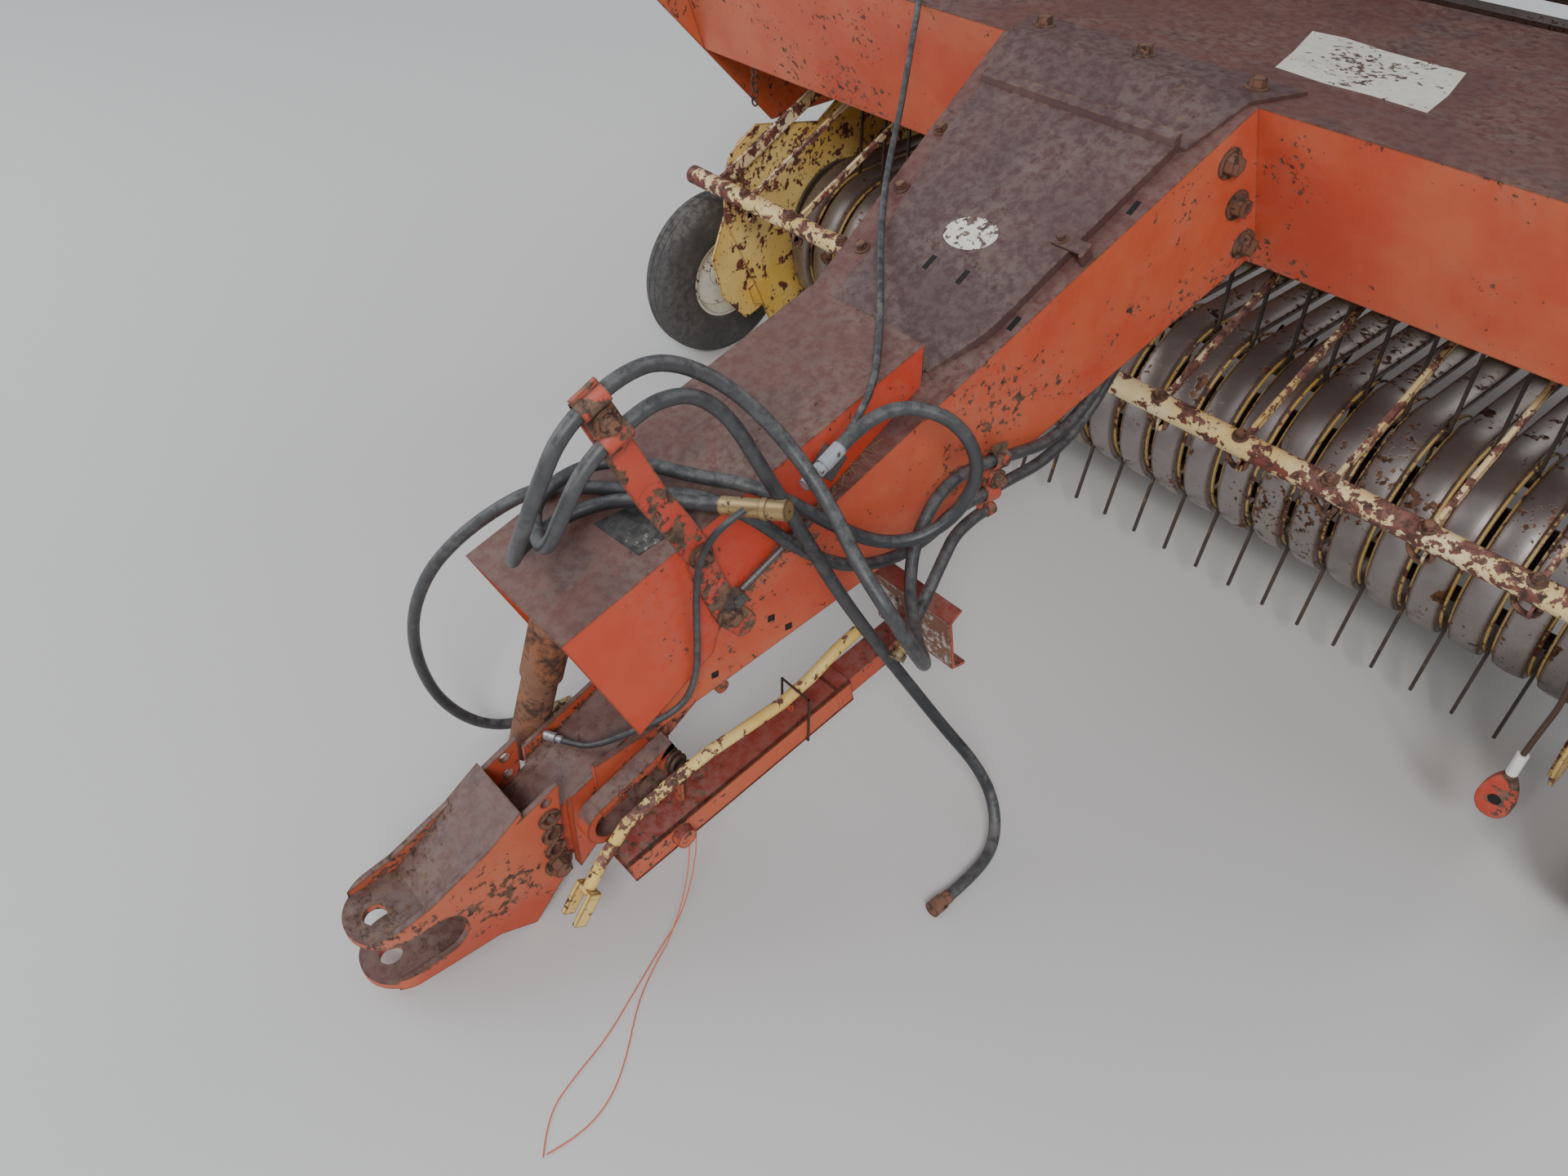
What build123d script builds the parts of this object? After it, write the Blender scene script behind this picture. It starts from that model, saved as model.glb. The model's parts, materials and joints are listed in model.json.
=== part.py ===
"""Round baler with a chain-and-slat bale chamber, parked with its hitch on the ground.

Millimetres. +Z is up, the drawbar points to -Y, and the machine's left side
looks towards +X. The origin lies on the ground under the middle of its box.
Side-view sizes are written from the drawbar pin, as (distance behind it, height).
"""
import math
import os

from build123d import *

os.makedirs("parts", exist_ok=True)

# Whole machine
nose = 45  # hitch nose ahead of the drawbar pin
gate_rear = 4255  # drawbar pin to the rear edge of the gate
half_width = 1225  # middle to the outer face of the platform's end plates
length = nose + gate_rear
pin_y = nose - length / 2
seat_gap = 0.3  # between pieces that rest on each other
sheet = 6  # platform and chamber sheet
SIDES = {"left": 1, "right": -1}

# Hitch clevis
clevis_half = 63
clevis_plate = 10
pin_hole_r = 17.5
clevis_top_z = 160
clevis_lower_z = 55
clevis_deck = 12
clevis_rear = 292
bend_y = 60
deck_rear = (225, 268)
mouth_r = 42
mouth_z = 104
mouth_depth = 107
row_y = 266
row_first_z = 108
row_pitch = 37
row_count = 5
row_hole_r = 9

# Hitch tube and its cheek ledges
hitch_tube_half = clevis_half - clevis_plate - seat_gap
hitch_tube_front = 236
hitch_tube_rear = 800
ledge_half = 70
ledge_sheet = 8

# Tongue
tongue_front = 456
tongue_half_front = 101
tongue_half_rear = 259
tongue_wall = 8
tongue_bottom = [(456, 317), (919, 465)]
tongue_join = 779  # height where the tongue's lower edge meets the platform
deck_front = (1500, 1030)  # front top edge of the platform
deck_toe = (1600, 755)  # lower edge of the platform's front face
deck_rear_y = 2200
tongue_rise = 0.5645  # slope of the tongue's top
tie_bolts = [(570, 330), (735, 425)]
tie_bolt_r = 12
shaft_slot = (610, 985)  # opening in the tongue's top, under the tunnel
shaft_slot_half = 55

# Driveline tunnel
tunnel_half = 121
tunnel_sheet = 3
tunnel_front = (305, 596)
tunnel_rear = (950, 790)
tunnel_toe = (405, 353)

# Tongue cover
cover_lift = 14
cover_sheet = 4
cover_outline = [(-192, 1408), (192, 1408), (150, 1085), (96, 1032), (-96, 1032), (-150, 1085)]

# Platform
end_plate = [(1455, 1030), (1455, 902), (1807, 541), (2200, 541), (2200, 1030)]
toe_flange = 40
shaft_window = (820, 940)  # heights of the opening in the front face for the shaft
cross_tube = 100
cross_tube_at = (1780, 930)
main_tube_wall = 8

# Bale chamber
wall_in = 790  # middle to the inner face of the side walls
wall_out = wall_in + sheet
gate_pivot = (3040, 2300)
gate_foot = (3450, 480)
split_gap = 8
wall_outline = [(2206, 480), (2206, 1700), (2480, 2250), (2700, 2390), (3030, 2390)]
gate_outline = [(3560, 2310), (3940, 2100), (4200, 1740), (4255, 1500), (4255, 1200), (4120, 850), (3760, 560)]
post = 50
rail_z = (460, 540)
rail_rear = 3440

# Axle and main wheels
axle_y = 3250
tyre_r = 380
tyre_width = 270
tyre_mid_x = 1085
rim_r = 205
axle_beam = 90
spindle_r = 25
hub_r = 62

# Pickup
pickup_pivot = (2350, 500)
pickup_half = 1000
shield_sheet = 6
reel_at = (1830, 345)
reel_bar_r = 130
tine_length = 210
tine_d = 6
bar_d = 30
reel_shaft_r = 20
reel_rim = 7
band_mid = (1840, 320)
band_r = 190
band_sheet = 3
band_width = 58
band_pitch = 78
band_count = 25
band_rear_y = 2145  # the tube that carries the bands, behind the turning tines
pickup_tube = 50

# Windguard
guard_at = (1440, 540)
guard_r = 21
guard_half = pickup_half + 75
guard_pivot = (2050, 700)
guard_pin_r = 10
guard_knee = (1750, 690)

# Gauge wheels
gauge_at = (1575, 215)
gauge_r = 215
gauge_width = 104
gauge_mid_x = pickup_half + 170
gauge_rim_r = 110

# Gate cylinders
ram_x = 905
ram_base = (2860, 1300)
ram_eye = (3310, 2110)
ram_barrel_r = 32
ram_rod_r = 16
eye_boss = 20  # stands out of the gate to the rod's eye pin

# Side doors
door_front = 2240
door_rear = 2830
door_z = (770, 1740)
door_x = 985

# Parking stand
stand_x = (140, 200)
stand_pivot = (410, 188)
stand_front = 265
stand_rear = 800
stand_z = (125, 200)
foot_y = 955


def side_plane(x):
    """The side view at x: its axes are the distance behind the pin and the height."""
    return Plane(origin=(x, pin_y, 0), x_dir=(0, 1, 0), z_dir=(1, 0, 0))


def top_plane(z):
    """The plan at height z: its axes are x and the distance behind the pin."""
    return Plane(origin=(0, pin_y, z), x_dir=(1, 0, 0), z_dir=(0, 0, 1))


def slab(outline, x0, x1, mode=Mode.ADD):
    """A plate with a side-view outline, from x0 to x1."""
    with BuildSketch(side_plane(x0)) as face:
        with BuildLine():
            Polyline(*outline, close=True)
        make_face()
    extrude(face.sketch, amount=x1 - x0, mode=mode)


def slab_pair(outline, x0, x1, mode=Mode.ADD):
    """The same plate on both sides of the machine."""
    slab(outline, x0, x1, mode)
    slab(outline, -x1, -x0, mode)


def rod(at, radius, x0, x1, mode=Mode.ADD):
    """A round bar or bore across the machine, at a side-view point."""
    with BuildSketch(side_plane(x0)) as face:
        with Locations(at):
            Circle(radius)
    extrude(face.sketch, amount=x1 - x0, mode=mode)


def block(y0, y1, z0, z1, x0, x1, mode=Mode.ADD):
    """A rectangular bar."""
    slab([(y0, z0), (y1, z0), (y1, z1), (y0, z1)], x0, x1, mode)


def strut(a, b, depth, x0, x1, mode=Mode.ADD):
    """A straight flat bar between two side-view points, of the given depth."""
    run = math.hypot(b[0] - a[0], b[1] - a[1])
    ny = -(b[1] - a[1]) / run * depth / 2
    nz = (b[0] - a[0]) / run * depth / 2
    corners = [(a[0] + ny, a[1] + nz), (a[0] - ny, a[1] - nz), (b[0] - ny, b[1] - nz), (b[0] + ny, b[1] + nz)]
    slab(corners, x0, x1, mode)


def plan(outline, z0, z1, mode=Mode.ADD):
    """A prism with a plan outline, from z0 to z1."""
    with BuildSketch(top_plane(z0)) as face:
        with BuildLine():
            Polyline(*outline, close=True)
        make_face()
    extrude(face.sketch, amount=z1 - z0, mode=mode)


def tongue_top(y):
    """Height of the tongue's top face at a distance behind the pin."""
    return deck_front[1] - (deck_front[0] - y) * tongue_rise


def tongue_half(y):
    """Half the tongue's width at a distance behind the pin."""
    share = (y - tongue_front) / (deck_toe[0] - tongue_front)
    return tongue_half_front + (tongue_half_rear - tongue_half_front) * share


def face_y(z):
    """Distance behind the pin of the tongue's rear edge, just ahead of the platform's face."""
    slope = (deck_toe[0] - deck_front[0]) / (deck_front[1] - deck_toe[1])
    return deck_front[0] + (deck_front[1] - z) * slope - seat_gap * math.hypot(1, slope)


def tunnel_top(y):
    """Height of the tunnel's roof at a distance behind the pin."""
    slope = (tunnel_rear[1] - tunnel_front[1]) / (tunnel_rear[0] - tunnel_front[0])
    return tunnel_front[1] + (y - tunnel_front[0]) * slope


def spread(count, pitch):
    """Positions of a row of like pieces about the middle."""
    return [(i - (count - 1) / 2) * pitch for i in range(count)]


def copies(piece, xs, mode=Mode.ADD):
    """Put a piece made at x = 0 at each x."""
    with Locations(*[(x, 0, 0) for x in xs]):
        add(piece, mode=mode)


def bar_between(a, b, depth, width):
    """A flat bar between two side-view points, centred on x = 0, kept apart for copies."""
    with BuildPart() as bar:
        strut(a, b, depth, -width / 2, width / 2)
    return bar.part


def polar(at, radius, degrees):
    """The point at an angle from forward (0) towards the ground (90)."""
    angle = math.radians(degrees)
    return at[0] - radius * math.cos(angle), at[1] - radius * math.sin(angle)


def keep(builder, name):
    """Label a finished piece and write it."""
    builder.part.label = name
    export_step(builder.part, f"parts/{name}.step")


# Hitch clevis
side_outline = [
    (-nose, 40), (150, 28), (210, 0), (clevis_rear - 17, 70), (clevis_rear, 280),
    (bend_y, 185), (-nose, clevis_top_z + 5),
]
with BuildPart() as hitch_clevis:
    slab_pair(side_outline, clevis_half - clevis_plate, clevis_half)
    slab([
        (-nose, clevis_top_z), (bend_y, clevis_top_z), deck_rear,
        (deck_rear[0], deck_rear[1] - clevis_deck), (bend_y, clevis_top_z - clevis_deck),
        (-nose, clevis_top_z - clevis_deck),
    ], -clevis_half, clevis_half)
    slab([
        (-nose, clevis_lower_z), (bend_y, clevis_lower_z), (210, 40),
        (210, 28), (bend_y, clevis_lower_z - clevis_deck), (-nose, clevis_lower_z - clevis_deck),
    ], -clevis_half, clevis_half)
    with BuildSketch(top_plane(-1)) as nose_plan:
        with Locations((0, clevis_half - nose)):
            Circle(clevis_half)
        with Locations((0, (clevis_half - nose + clevis_rear) / 2)):
            Rectangle(2 * clevis_half, clevis_rear - clevis_half + nose)
    extrude(nose_plan.sketch, amount=400, mode=Mode.INTERSECT)
    with BuildSketch(side_plane(-clevis_half - 1)) as mouth:
        with Locations((mouth_depth - mouth_r, mouth_z)):
            Circle(mouth_r)
        with Locations(((mouth_depth - mouth_r - 2 * nose) / 2, mouth_z)):
            Rectangle(mouth_depth - mouth_r + 2 * nose, 2 * mouth_r)
    extrude(mouth.sketch, amount=2 * clevis_half + 2, mode=Mode.SUBTRACT)
    with BuildSketch(top_plane(0)) as pin_hole:
        Circle(pin_hole_r)
    extrude(pin_hole.sketch, amount=clevis_top_z + 20, mode=Mode.SUBTRACT)
    for i in range(row_count):
        rod((row_y, row_first_z + i * row_pitch), row_hole_r, -clevis_half - 1, clevis_half + 1, Mode.SUBTRACT)
keep(hitch_clevis, "hitch_clevis")

# Hitch tube: bolted between the clevis plates, it rises into the open tongue
tube_top = [(hitch_tube_front, 189), (440, 286), (640, 392), (hitch_tube_rear, 470)]
tube_low = [(hitch_tube_rear, 425), (279, 80), (hitch_tube_front, 84)]
with BuildPart() as hitch_tube:
    slab(tube_top + tube_low, -hitch_tube_half, hitch_tube_half)
    ledge = [(300, 75), (303, 215), (381, 250), (455, 285), (455, 215), (420, 180)]
    slab_pair(ledge, hitch_tube_half - 1, ledge_half)
    cheek = [(300, 75), (303, 243), (381, 272), (455, 300), (455, 215), (420, 180)]
    slab_pair(cheek, ledge_half - ledge_sheet, ledge_half)
    for at in tie_bolts:
        reach = tongue_half(at[0]) - tongue_wall - 2
        rod(at, tie_bolt_r, -reach, reach)
keep(hitch_tube, "hitch_tube")

# Tongue: a tapered channel, open below
tongue_back = [(face_y(tongue_join), tongue_join), (face_y(deck_front[1]), deck_front[1])]
front_top = (tongue_front, tongue_top(tongue_front))
far = 1700
with BuildPart() as tongue_hollow:
    slab([
        (tongue_front - 10, 200), (far, 200), (far, tongue_top(far) - tongue_wall * 1.15),
        (tongue_front - 10, tongue_top(tongue_front - 10) - tongue_wall * 1.15),
    ], -300, 300)
    plan([
        (-tongue_half(tongue_front - 10) + tongue_wall, tongue_front - 10),
        (tongue_half(tongue_front - 10) - tongue_wall, tongue_front - 10),
        (tongue_half(far) - tongue_wall, far), (-tongue_half(far) + tongue_wall, far),
    ], 0, 1200, Mode.INTERSECT)
with BuildPart() as tongue:
    slab([front_top] + tongue_bottom + tongue_back, -300, 300)
    plan([
        (-tongue_half(tongue_front - 10), tongue_front - 10), (tongue_half(tongue_front - 10), tongue_front - 10),
        (tongue_half(far), far), (-tongue_half(far), far),
    ], 0, 1200, Mode.INTERSECT)
    add(tongue_hollow.part, mode=Mode.SUBTRACT)
    block(*shaft_slot, 400, 900, -shaft_slot_half, shaft_slot_half, Mode.SUBTRACT)
keep(tongue, "tongue")

# Driveline tunnel: an upside-down channel over the tongue's front
straddle = 568
tunnel_side = [
    tunnel_front, tunnel_rear, (tunnel_rear[0], tongue_top(tunnel_rear[0]) + seat_gap),
    (straddle, tongue_top(straddle) + seat_gap), (545, 432), tunnel_toe,
]
with BuildPart() as driveline_tunnel:
    slab(tunnel_side, -tunnel_half, tunnel_half)
    lower = tunnel_sheet * 1.1
    slab([
        (tunnel_front[0] - 20, tunnel_front[1] - lower - 6), (tunnel_rear[0] + 20, tunnel_rear[1] - lower + 6),
        (tunnel_rear[0] + 20, 300), (tunnel_front[0] - 20, 300),
    ], -tunnel_half + tunnel_sheet, tunnel_half - tunnel_sheet, Mode.SUBTRACT)
keep(driveline_tunnel, "driveline_tunnel")

# Driveline: a shaft down the tongue, its hanger, and the slip tube that droops at the front
yoke_at = Vector(-48, pin_y + 405, 535)
shaft_end = Vector(0, pin_y + 1622, 893)
droop = Vector(-50, -53, -254).normalized()
hanger = (575, 587)
with BuildPart() as driveline:
    shaft_run = shaft_end - yoke_at
    with BuildSketch(Plane(origin=yoke_at, x_dir=(1, 0, 0), z_dir=shaft_run)) as shaft_face:
        Circle(17)
    extrude(shaft_face.sketch, amount=shaft_run.length)
    hanger_half = tunnel_half - tunnel_sheet - seat_gap
    slab([
        (hanger[0], tongue_top(hanger[1]) + 1), (hanger[1], tongue_top(hanger[1]) + 1),
        (hanger[1], tunnel_top(hanger[0]) - 4), (hanger[0], tunnel_top(hanger[0]) - 4),
    ], -hanger_half, hanger_half)
    with Locations(yoke_at):
        Sphere(42)
    for reach, radius in ((190, 34), (375, 29)):
        with BuildSketch(Plane(origin=yoke_at, x_dir=(1, 0, 0), z_dir=droop)) as slip_face:
            Circle(radius)
        extrude(slip_face.sketch, amount=reach)
keep(driveline, "driveline")

# Tongue cover: a raised lid with turned-down edges
with BuildPart() as tongue_cover:
    rise = [(1000, tongue_top(1000)), (1500, tongue_top(1500))]
    lift = cover_lift + cover_sheet
    slab([
        (rise[0][0], rise[0][1] + seat_gap), (rise[1][0], rise[1][1] + seat_gap),
        (rise[1][0], rise[1][1] + lift), (rise[0][0], rise[0][1] + lift),
    ], -300, 300)
    plan(cover_outline, 0, 1200, Mode.INTERSECT)
keep(tongue_cover, "tongue_cover")

# Platform: front face, deck and end plates
with BuildPart() as platform:
    slab([
        deck_front, (deck_rear_y, deck_front[1]), (deck_rear_y, deck_front[1] - toe_flange),
        (deck_rear_y - sheet, deck_front[1] - toe_flange), (deck_rear_y - sheet, deck_front[1] - sheet),
        (deck_front[0] + sheet * 1.2, deck_front[1] - sheet), (deck_toe[0] + sheet * 1.2, deck_toe[1] + sheet),
        (deck_toe[0] + toe_flange, deck_toe[1] + sheet), (deck_toe[0] + toe_flange, deck_toe[1]), deck_toe,
    ], -half_width, half_width)
    slab_pair(end_plate, half_width - sheet, half_width)
    block(deck_front[0], deck_toe[0], *shaft_window, -90, 90, Mode.SUBTRACT)
keep(platform, "platform")

# Main frame: the cross tube, stubs to the front posts, rails along the walls
with BuildPart() as main_frame:
    y0 = cross_tube_at[0] - cross_tube / 2
    z0 = cross_tube_at[1] - cross_tube / 2
    span = half_width - sheet - seat_gap
    block(y0, y0 + cross_tube, z0, z0 + cross_tube, -span, span)
    block(
        y0 + main_tube_wall, y0 + cross_tube - main_tube_wall, z0 + main_tube_wall,
        z0 + cross_tube - main_tube_wall, -span - 1, span + 1, Mode.SUBTRACT,
    )
    frame_x = wall_out + seat_gap
    for side in SIDES.values():
        x_in, x_out = sorted((side * frame_x, side * (frame_x + post)))
        block(y0 + cross_tube, 2206 + 80, z0 + 20, z0 + 80, x_in, x_out)
        block(2206, 2206 + 80, rail_z[0], 2050, x_in, x_out)
        block(2206, rail_rear, rail_z[0], rail_z[1], x_in, x_out)
        block(axle_y - 70, axle_y + 70, tyre_r + axle_beam / 2 + seat_gap, rail_z[0], x_in, x_out)
        strut((ram_base[0], 520), (ram_base[0], ram_base[1] + 45), 90, x_in, x_out)
keep(main_frame, "main_frame")

# Side walls of the fixed half of the chamber
run = math.hypot(gate_foot[0] - gate_pivot[0], gate_pivot[1] - gate_foot[1])
split_ny = (gate_pivot[1] - gate_foot[1]) / run * split_gap / 2
split_nz = (gate_foot[0] - gate_pivot[0]) / run * split_gap / 2
fixed_edge = [(gate_pivot[0] - split_ny, gate_pivot[1] - split_nz), (gate_foot[0] - split_ny, gate_foot[1] - split_nz)]
gate_edge = [(gate_pivot[0] + split_ny, gate_pivot[1] + split_nz), (gate_foot[0] + split_ny, gate_foot[1] + split_nz)]
gate_pin_r = 20
for name, side in SIDES.items():
    x_in, x_out = sorted((side * wall_in, side * wall_out))
    pin_in, pin_out = sorted((side * wall_out, side * (wall_out + 30)))
    with BuildPart() as side_wall:
        slab(wall_outline + fixed_edge, x_in, x_out)
        rod((gate_pivot[0] - 45, gate_pivot[1]), 60, x_in, x_out)
        block(gate_pivot[0] - 3, gate_pivot[0] + 40, gate_pivot[1] - 80, gate_pivot[1] + 95, x_in, x_out, Mode.SUBTRACT)
        rod(gate_pivot, gate_pin_r, x_in, x_out)
        rod(gate_pivot, gate_pin_r, pin_in, pin_out)
    keep(side_wall, f"side_wall_{name}")


def apron(path, radius, slats):
    """A closed apron: two side chains along the path and slats across them."""
    for x0 in (-chain_in - chain_width, chain_in):
        with BuildSketch(side_plane(x0)) as strip:
            with BuildLine() as line:
                FilletPolyline(*path, radius=radius, close=True)
            make_face()
            offset(amount=-chain_thick, mode=Mode.SUBTRACT)
        extrude(strip.sketch, amount=chain_width)
    with BuildLine(side_plane(0), mode=Mode.PRIVATE) as loop:
        FilletPolyline(*path, radius=radius, close=True)
    wire = loop.wire()
    for i in range(slats):
        share = (i + 0.5) / slats
        plane = Plane(origin=wire @ share, x_dir=(1, 0, 0), z_dir=wire % share)
        with Locations(plane):
            Box(2 * slat_half, slat_depth, slat_width)


chain_in = 735
chain_width = 30
chain_thick = 16
slat_half = 780
slat_depth = 14
slat_width = 38
slat_pitch = 125


def slat_count(path):
    """Slats around a closed path at about the usual pitch."""
    total = sum(math.dist(path[i], path[i - 1]) for i in range(len(path)))
    return round(total / slat_pitch)


floor_path = [(2265, 600), (3370, 600), (3370, 485), (2265, 485)]
front_path = [
    (2265, 1090), (2265, 1690), (2510, 2190), (2715, 2335), (3000, 2335),
    (3000, 2215), (2760, 2215), (2610, 2110), (2385, 1650), (2385, 1090),
]
gate_path = [
    (3145, 2240), (3540, 2245), (3885, 2055), (4130, 1715), (4190, 1490), (4190, 1215),
    (4065, 895), (3740, 630), (3500, 560), (3500, 680), (3690, 740), (3965, 960),
    (4070, 1235), (4070, 1475), (4020, 1660), (3800, 1965), (3510, 2125), (3145, 2120),
]
with BuildPart() as floor_apron:
    apron(floor_path, 50, slat_count(floor_path))
keep(floor_apron, "floor_apron")
with BuildPart() as front_apron:
    apron(front_path, 45, slat_count(front_path))
keep(front_apron, "front_apron")
with BuildPart() as gate_apron:
    apron(gate_path, 45, slat_count(gate_path))
keep(gate_apron, "gate_apron")

# Shafts and sprocket drums that carry the aprons
drum_r = 38
fixed_drums = [(2325, 542), (3310, 542), (2325, 1150), (2935, 2275)]
gate_drums = [(3205, 2180), (4130, 1350), (3560, 635)]
with BuildPart() as apron_shafts:
    for at in fixed_drums:
        rod(at, drum_r, -wall_in + seat_gap, wall_in - seat_gap)
keep(apron_shafts, "apron_shafts")

# Gate: side plates, hinge ears, cross tubes and shafts
ear_r = 55
with BuildPart() as gate_frame:
    gate_side = [gate_edge[0]] + gate_outline + [gate_edge[1]]
    slab_pair(gate_side, wall_in, wall_out)
    slab_pair([(3100, 2285), (3330, 2270), (3330, 2140), (3110, 2140)], wall_out, wall_out + 6)
    ear = [(gate_pivot[0] - 40, gate_pivot[1] + 38), (3330, 2270), (3330, 2140), (gate_pivot[0] - 20, gate_pivot[1] - 50)]
    slab_pair(ear, wall_out + 6, wall_out + 18)
    for x0 in (-wall_out - 18, wall_out + 6):
        rod(gate_pivot, ear_r, x0, x0 + 12)
        rod(gate_pivot, gate_pin_r + seat_gap, x0 - 1, x0 + 13, Mode.SUBTRACT)
    clear_r = ear_r + 5
    for x0 in (-wall_out, wall_in):
        rod(gate_pivot, clear_r, x0, x0 + sheet, Mode.SUBTRACT)
    for at in gate_drums:
        rod(at, drum_r, -wall_in, wall_in)
    for side in SIDES.values():
        rod(ram_eye, 34, *sorted((side * wall_out, side * (wall_out + eye_boss))))
keep(gate_frame, "gate_frame")

# Axle and wheels
with BuildPart() as axle:
    half = axle_beam / 2
    beam_end = frame_x + post
    block(axle_y - half, axle_y + half, tyre_r - half, tyre_r + half, -beam_end, beam_end)
    for side in SIDES.values():
        ends = sorted((side * (beam_end - 10), side * (tyre_mid_x + 75)))
        rod((axle_y, tyre_r), spindle_r, *ends)
keep(axle, "axle")


def turned(outline, mid_x, at):
    """A turned piece across the machine: its outline is (x from mid_x, radius)."""
    centre = Plane(origin=(mid_x, pin_y + at[0], at[1]), x_dir=(1, 0, 0), z_dir=(0, -1, 0))
    with BuildSketch(centre) as face:
        with BuildLine():
            Polyline(*outline, close=True)
        make_face()
    revolve(face.sketch, axis=Axis((mid_x, pin_y + at[0], at[1]), (1, 0, 0)), revolution_arc=360)


w = tyre_width / 2
tyre_outline = [
    (-w + 35, rim_r), (-w, rim_r + 55), (-w, tyre_r - 75), (-w + 18, tyre_r - 25), (-w + 45, tyre_r),
    (w - 45, tyre_r), (w - 18, tyre_r - 25), (w, tyre_r - 75), (w, rim_r + 55), (w - 35, rim_r),
]
rim_edge = rim_r - seat_gap
for name, side in SIDES.items():
    with BuildPart() as tyre:
        turned(tyre_outline, side * tyre_mid_x, (axle_y, tyre_r))
    keep(tyre, f"tyre_{name}")
    dish = 20 * side
    with BuildPart() as rim:
        turned([
            (-95, rim_edge), (95, rim_edge), (95, rim_edge - 12), (dish + 8, rim_edge - 30),
            (dish + 8, hub_r), (70 * side if side > 0 else 30, hub_r),
            (70 * side if side > 0 else 30, spindle_r + seat_gap),
            (-30 if side > 0 else -70, spindle_r + seat_gap), (-30 if side > 0 else -70, hub_r),
            (dish - 8, hub_r), (dish - 8, rim_edge - 30), (-95, rim_edge - 12),
        ], side * tyre_mid_x, (axle_y, tyre_r))
    keep(rim, f"rim_{name}")

# Pickup frame: end shields, rear tube, lift arms and band carriers
shield_outline = [
    (1700, 130), (1625, 250), (1610, 380), (1650, 500), (1760, 600), (1990, 745), (2090, 745),
    (2150, 640), (2150, 480), (2050, 250), (1920, 110),
]
arm_x = 870
arm_sheet = 12
with BuildPart() as pickup_frame:
    slab_pair(shield_outline, pickup_half, pickup_half + shield_sheet)
    for x0 in (-pickup_half - shield_sheet, pickup_half):
        rod(reel_at, reel_shaft_r + seat_gap, x0 - 1, x0 + shield_sheet + 1, Mode.SUBTRACT)
    half = pickup_tube / 2
    tube_z = band_mid[1] + band_r + seat_gap
    block(band_rear_y - half, band_rear_y + half, tube_z, tube_z + pickup_tube, -pickup_half, pickup_half)
    for x0 in (-pickup_half - shield_sheet, pickup_half):
        rod(guard_pivot, guard_pin_r + seat_gap, x0 - 1, x0 + shield_sheet + 1, Mode.SUBTRACT)
    slab_pair([
        (band_rear_y, 515), (band_rear_y, 575), (pickup_pivot[0], pickup_pivot[1] + 35),
        (pickup_pivot[0] + 30, pickup_pivot[1]), (pickup_pivot[0], pickup_pivot[1] - 35),
    ], arm_x, arm_x + arm_sheet)
    for x0 in (-arm_x - arm_sheet, arm_x):
        rod(pickup_pivot, 18 + seat_gap, x0 - 1, x0 + arm_sheet + 1, Mode.SUBTRACT)
keep(pickup_frame, "pickup_frame")

# Pivot lugs of the pickup on the lower rails
with BuildPart() as pickup_lugs:
    for side in SIDES.values():
        ends = sorted((side * (frame_x + post + seat_gap), side * (arm_x - 5)))
        rod(pickup_pivot, 32, *ends)
        ends = sorted((side * (frame_x + post + seat_gap), side * (arm_x + arm_sheet + 12)))
        rod(pickup_pivot, 18, *ends)
keep(pickup_lugs, "pickup_lugs")

# Stripper bands: curved strips side by side, hung from the rear tube
with BuildPart() as one_band:
    low_end = 105
    mid = (low_end - 90) / 2
    rear_z = band_mid[1] + band_r
    inner_r = band_r - band_sheet
    with BuildSketch(side_plane(-band_width / 2)) as band:
        with BuildLine():
            ThreePointArc(polar(band_mid, band_r, low_end), polar(band_mid, band_r, mid), polar(band_mid, band_r, -90))
            Polyline(
                (band_mid[0], rear_z), (band_rear_y, rear_z),
                (band_rear_y, rear_z - band_sheet), (band_mid[0], rear_z - band_sheet),
            )
            ThreePointArc(
                polar(band_mid, inner_r, -90), polar(band_mid, inner_r, mid), polar(band_mid, inner_r, low_end),
            )
            Line(polar(band_mid, inner_r, low_end), polar(band_mid, band_r, low_end))
        make_face()
    extrude(band.sketch, amount=band_width)
with BuildPart() as stripper_bands:
    copies(one_band.part, spread(band_count, band_pitch))
keep(stripper_bands, "stripper_bands")

# Pickup reel: shaft, end plates, three bars and their tines
reel_bars = [(40, 78), (-83, -90), (157, 215)]
reel_end = pickup_half - 5
with BuildPart() as pickup_reel:
    rod(reel_at, reel_shaft_r, -pickup_half - 25, pickup_half + 25)
    rod(reel_at, 45, -reel_end, reel_end)
    for x0 in (-reel_end, reel_end - 8):
        rod(reel_at, reel_bar_r + bar_d / 2 + reel_rim, x0, x0 + 8)
    for bar_angle, tine_angle in reel_bars:
        at = polar(reel_at, reel_bar_r, bar_angle)
        rod(at, bar_d / 2, -reel_end, reel_end)
    for bar_angle, tine_angle in reel_bars:
        at = polar(reel_at, reel_bar_r, bar_angle)
        long_run = tine_length if bar_angle == reel_bars[0][0] else tine_length - 25
        tip = polar(at, long_run, tine_angle)
        copies(bar_between(at, tip, tine_d, tine_d), spread(band_count - 1, band_pitch))
keep(pickup_reel, "pickup_reel")

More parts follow.
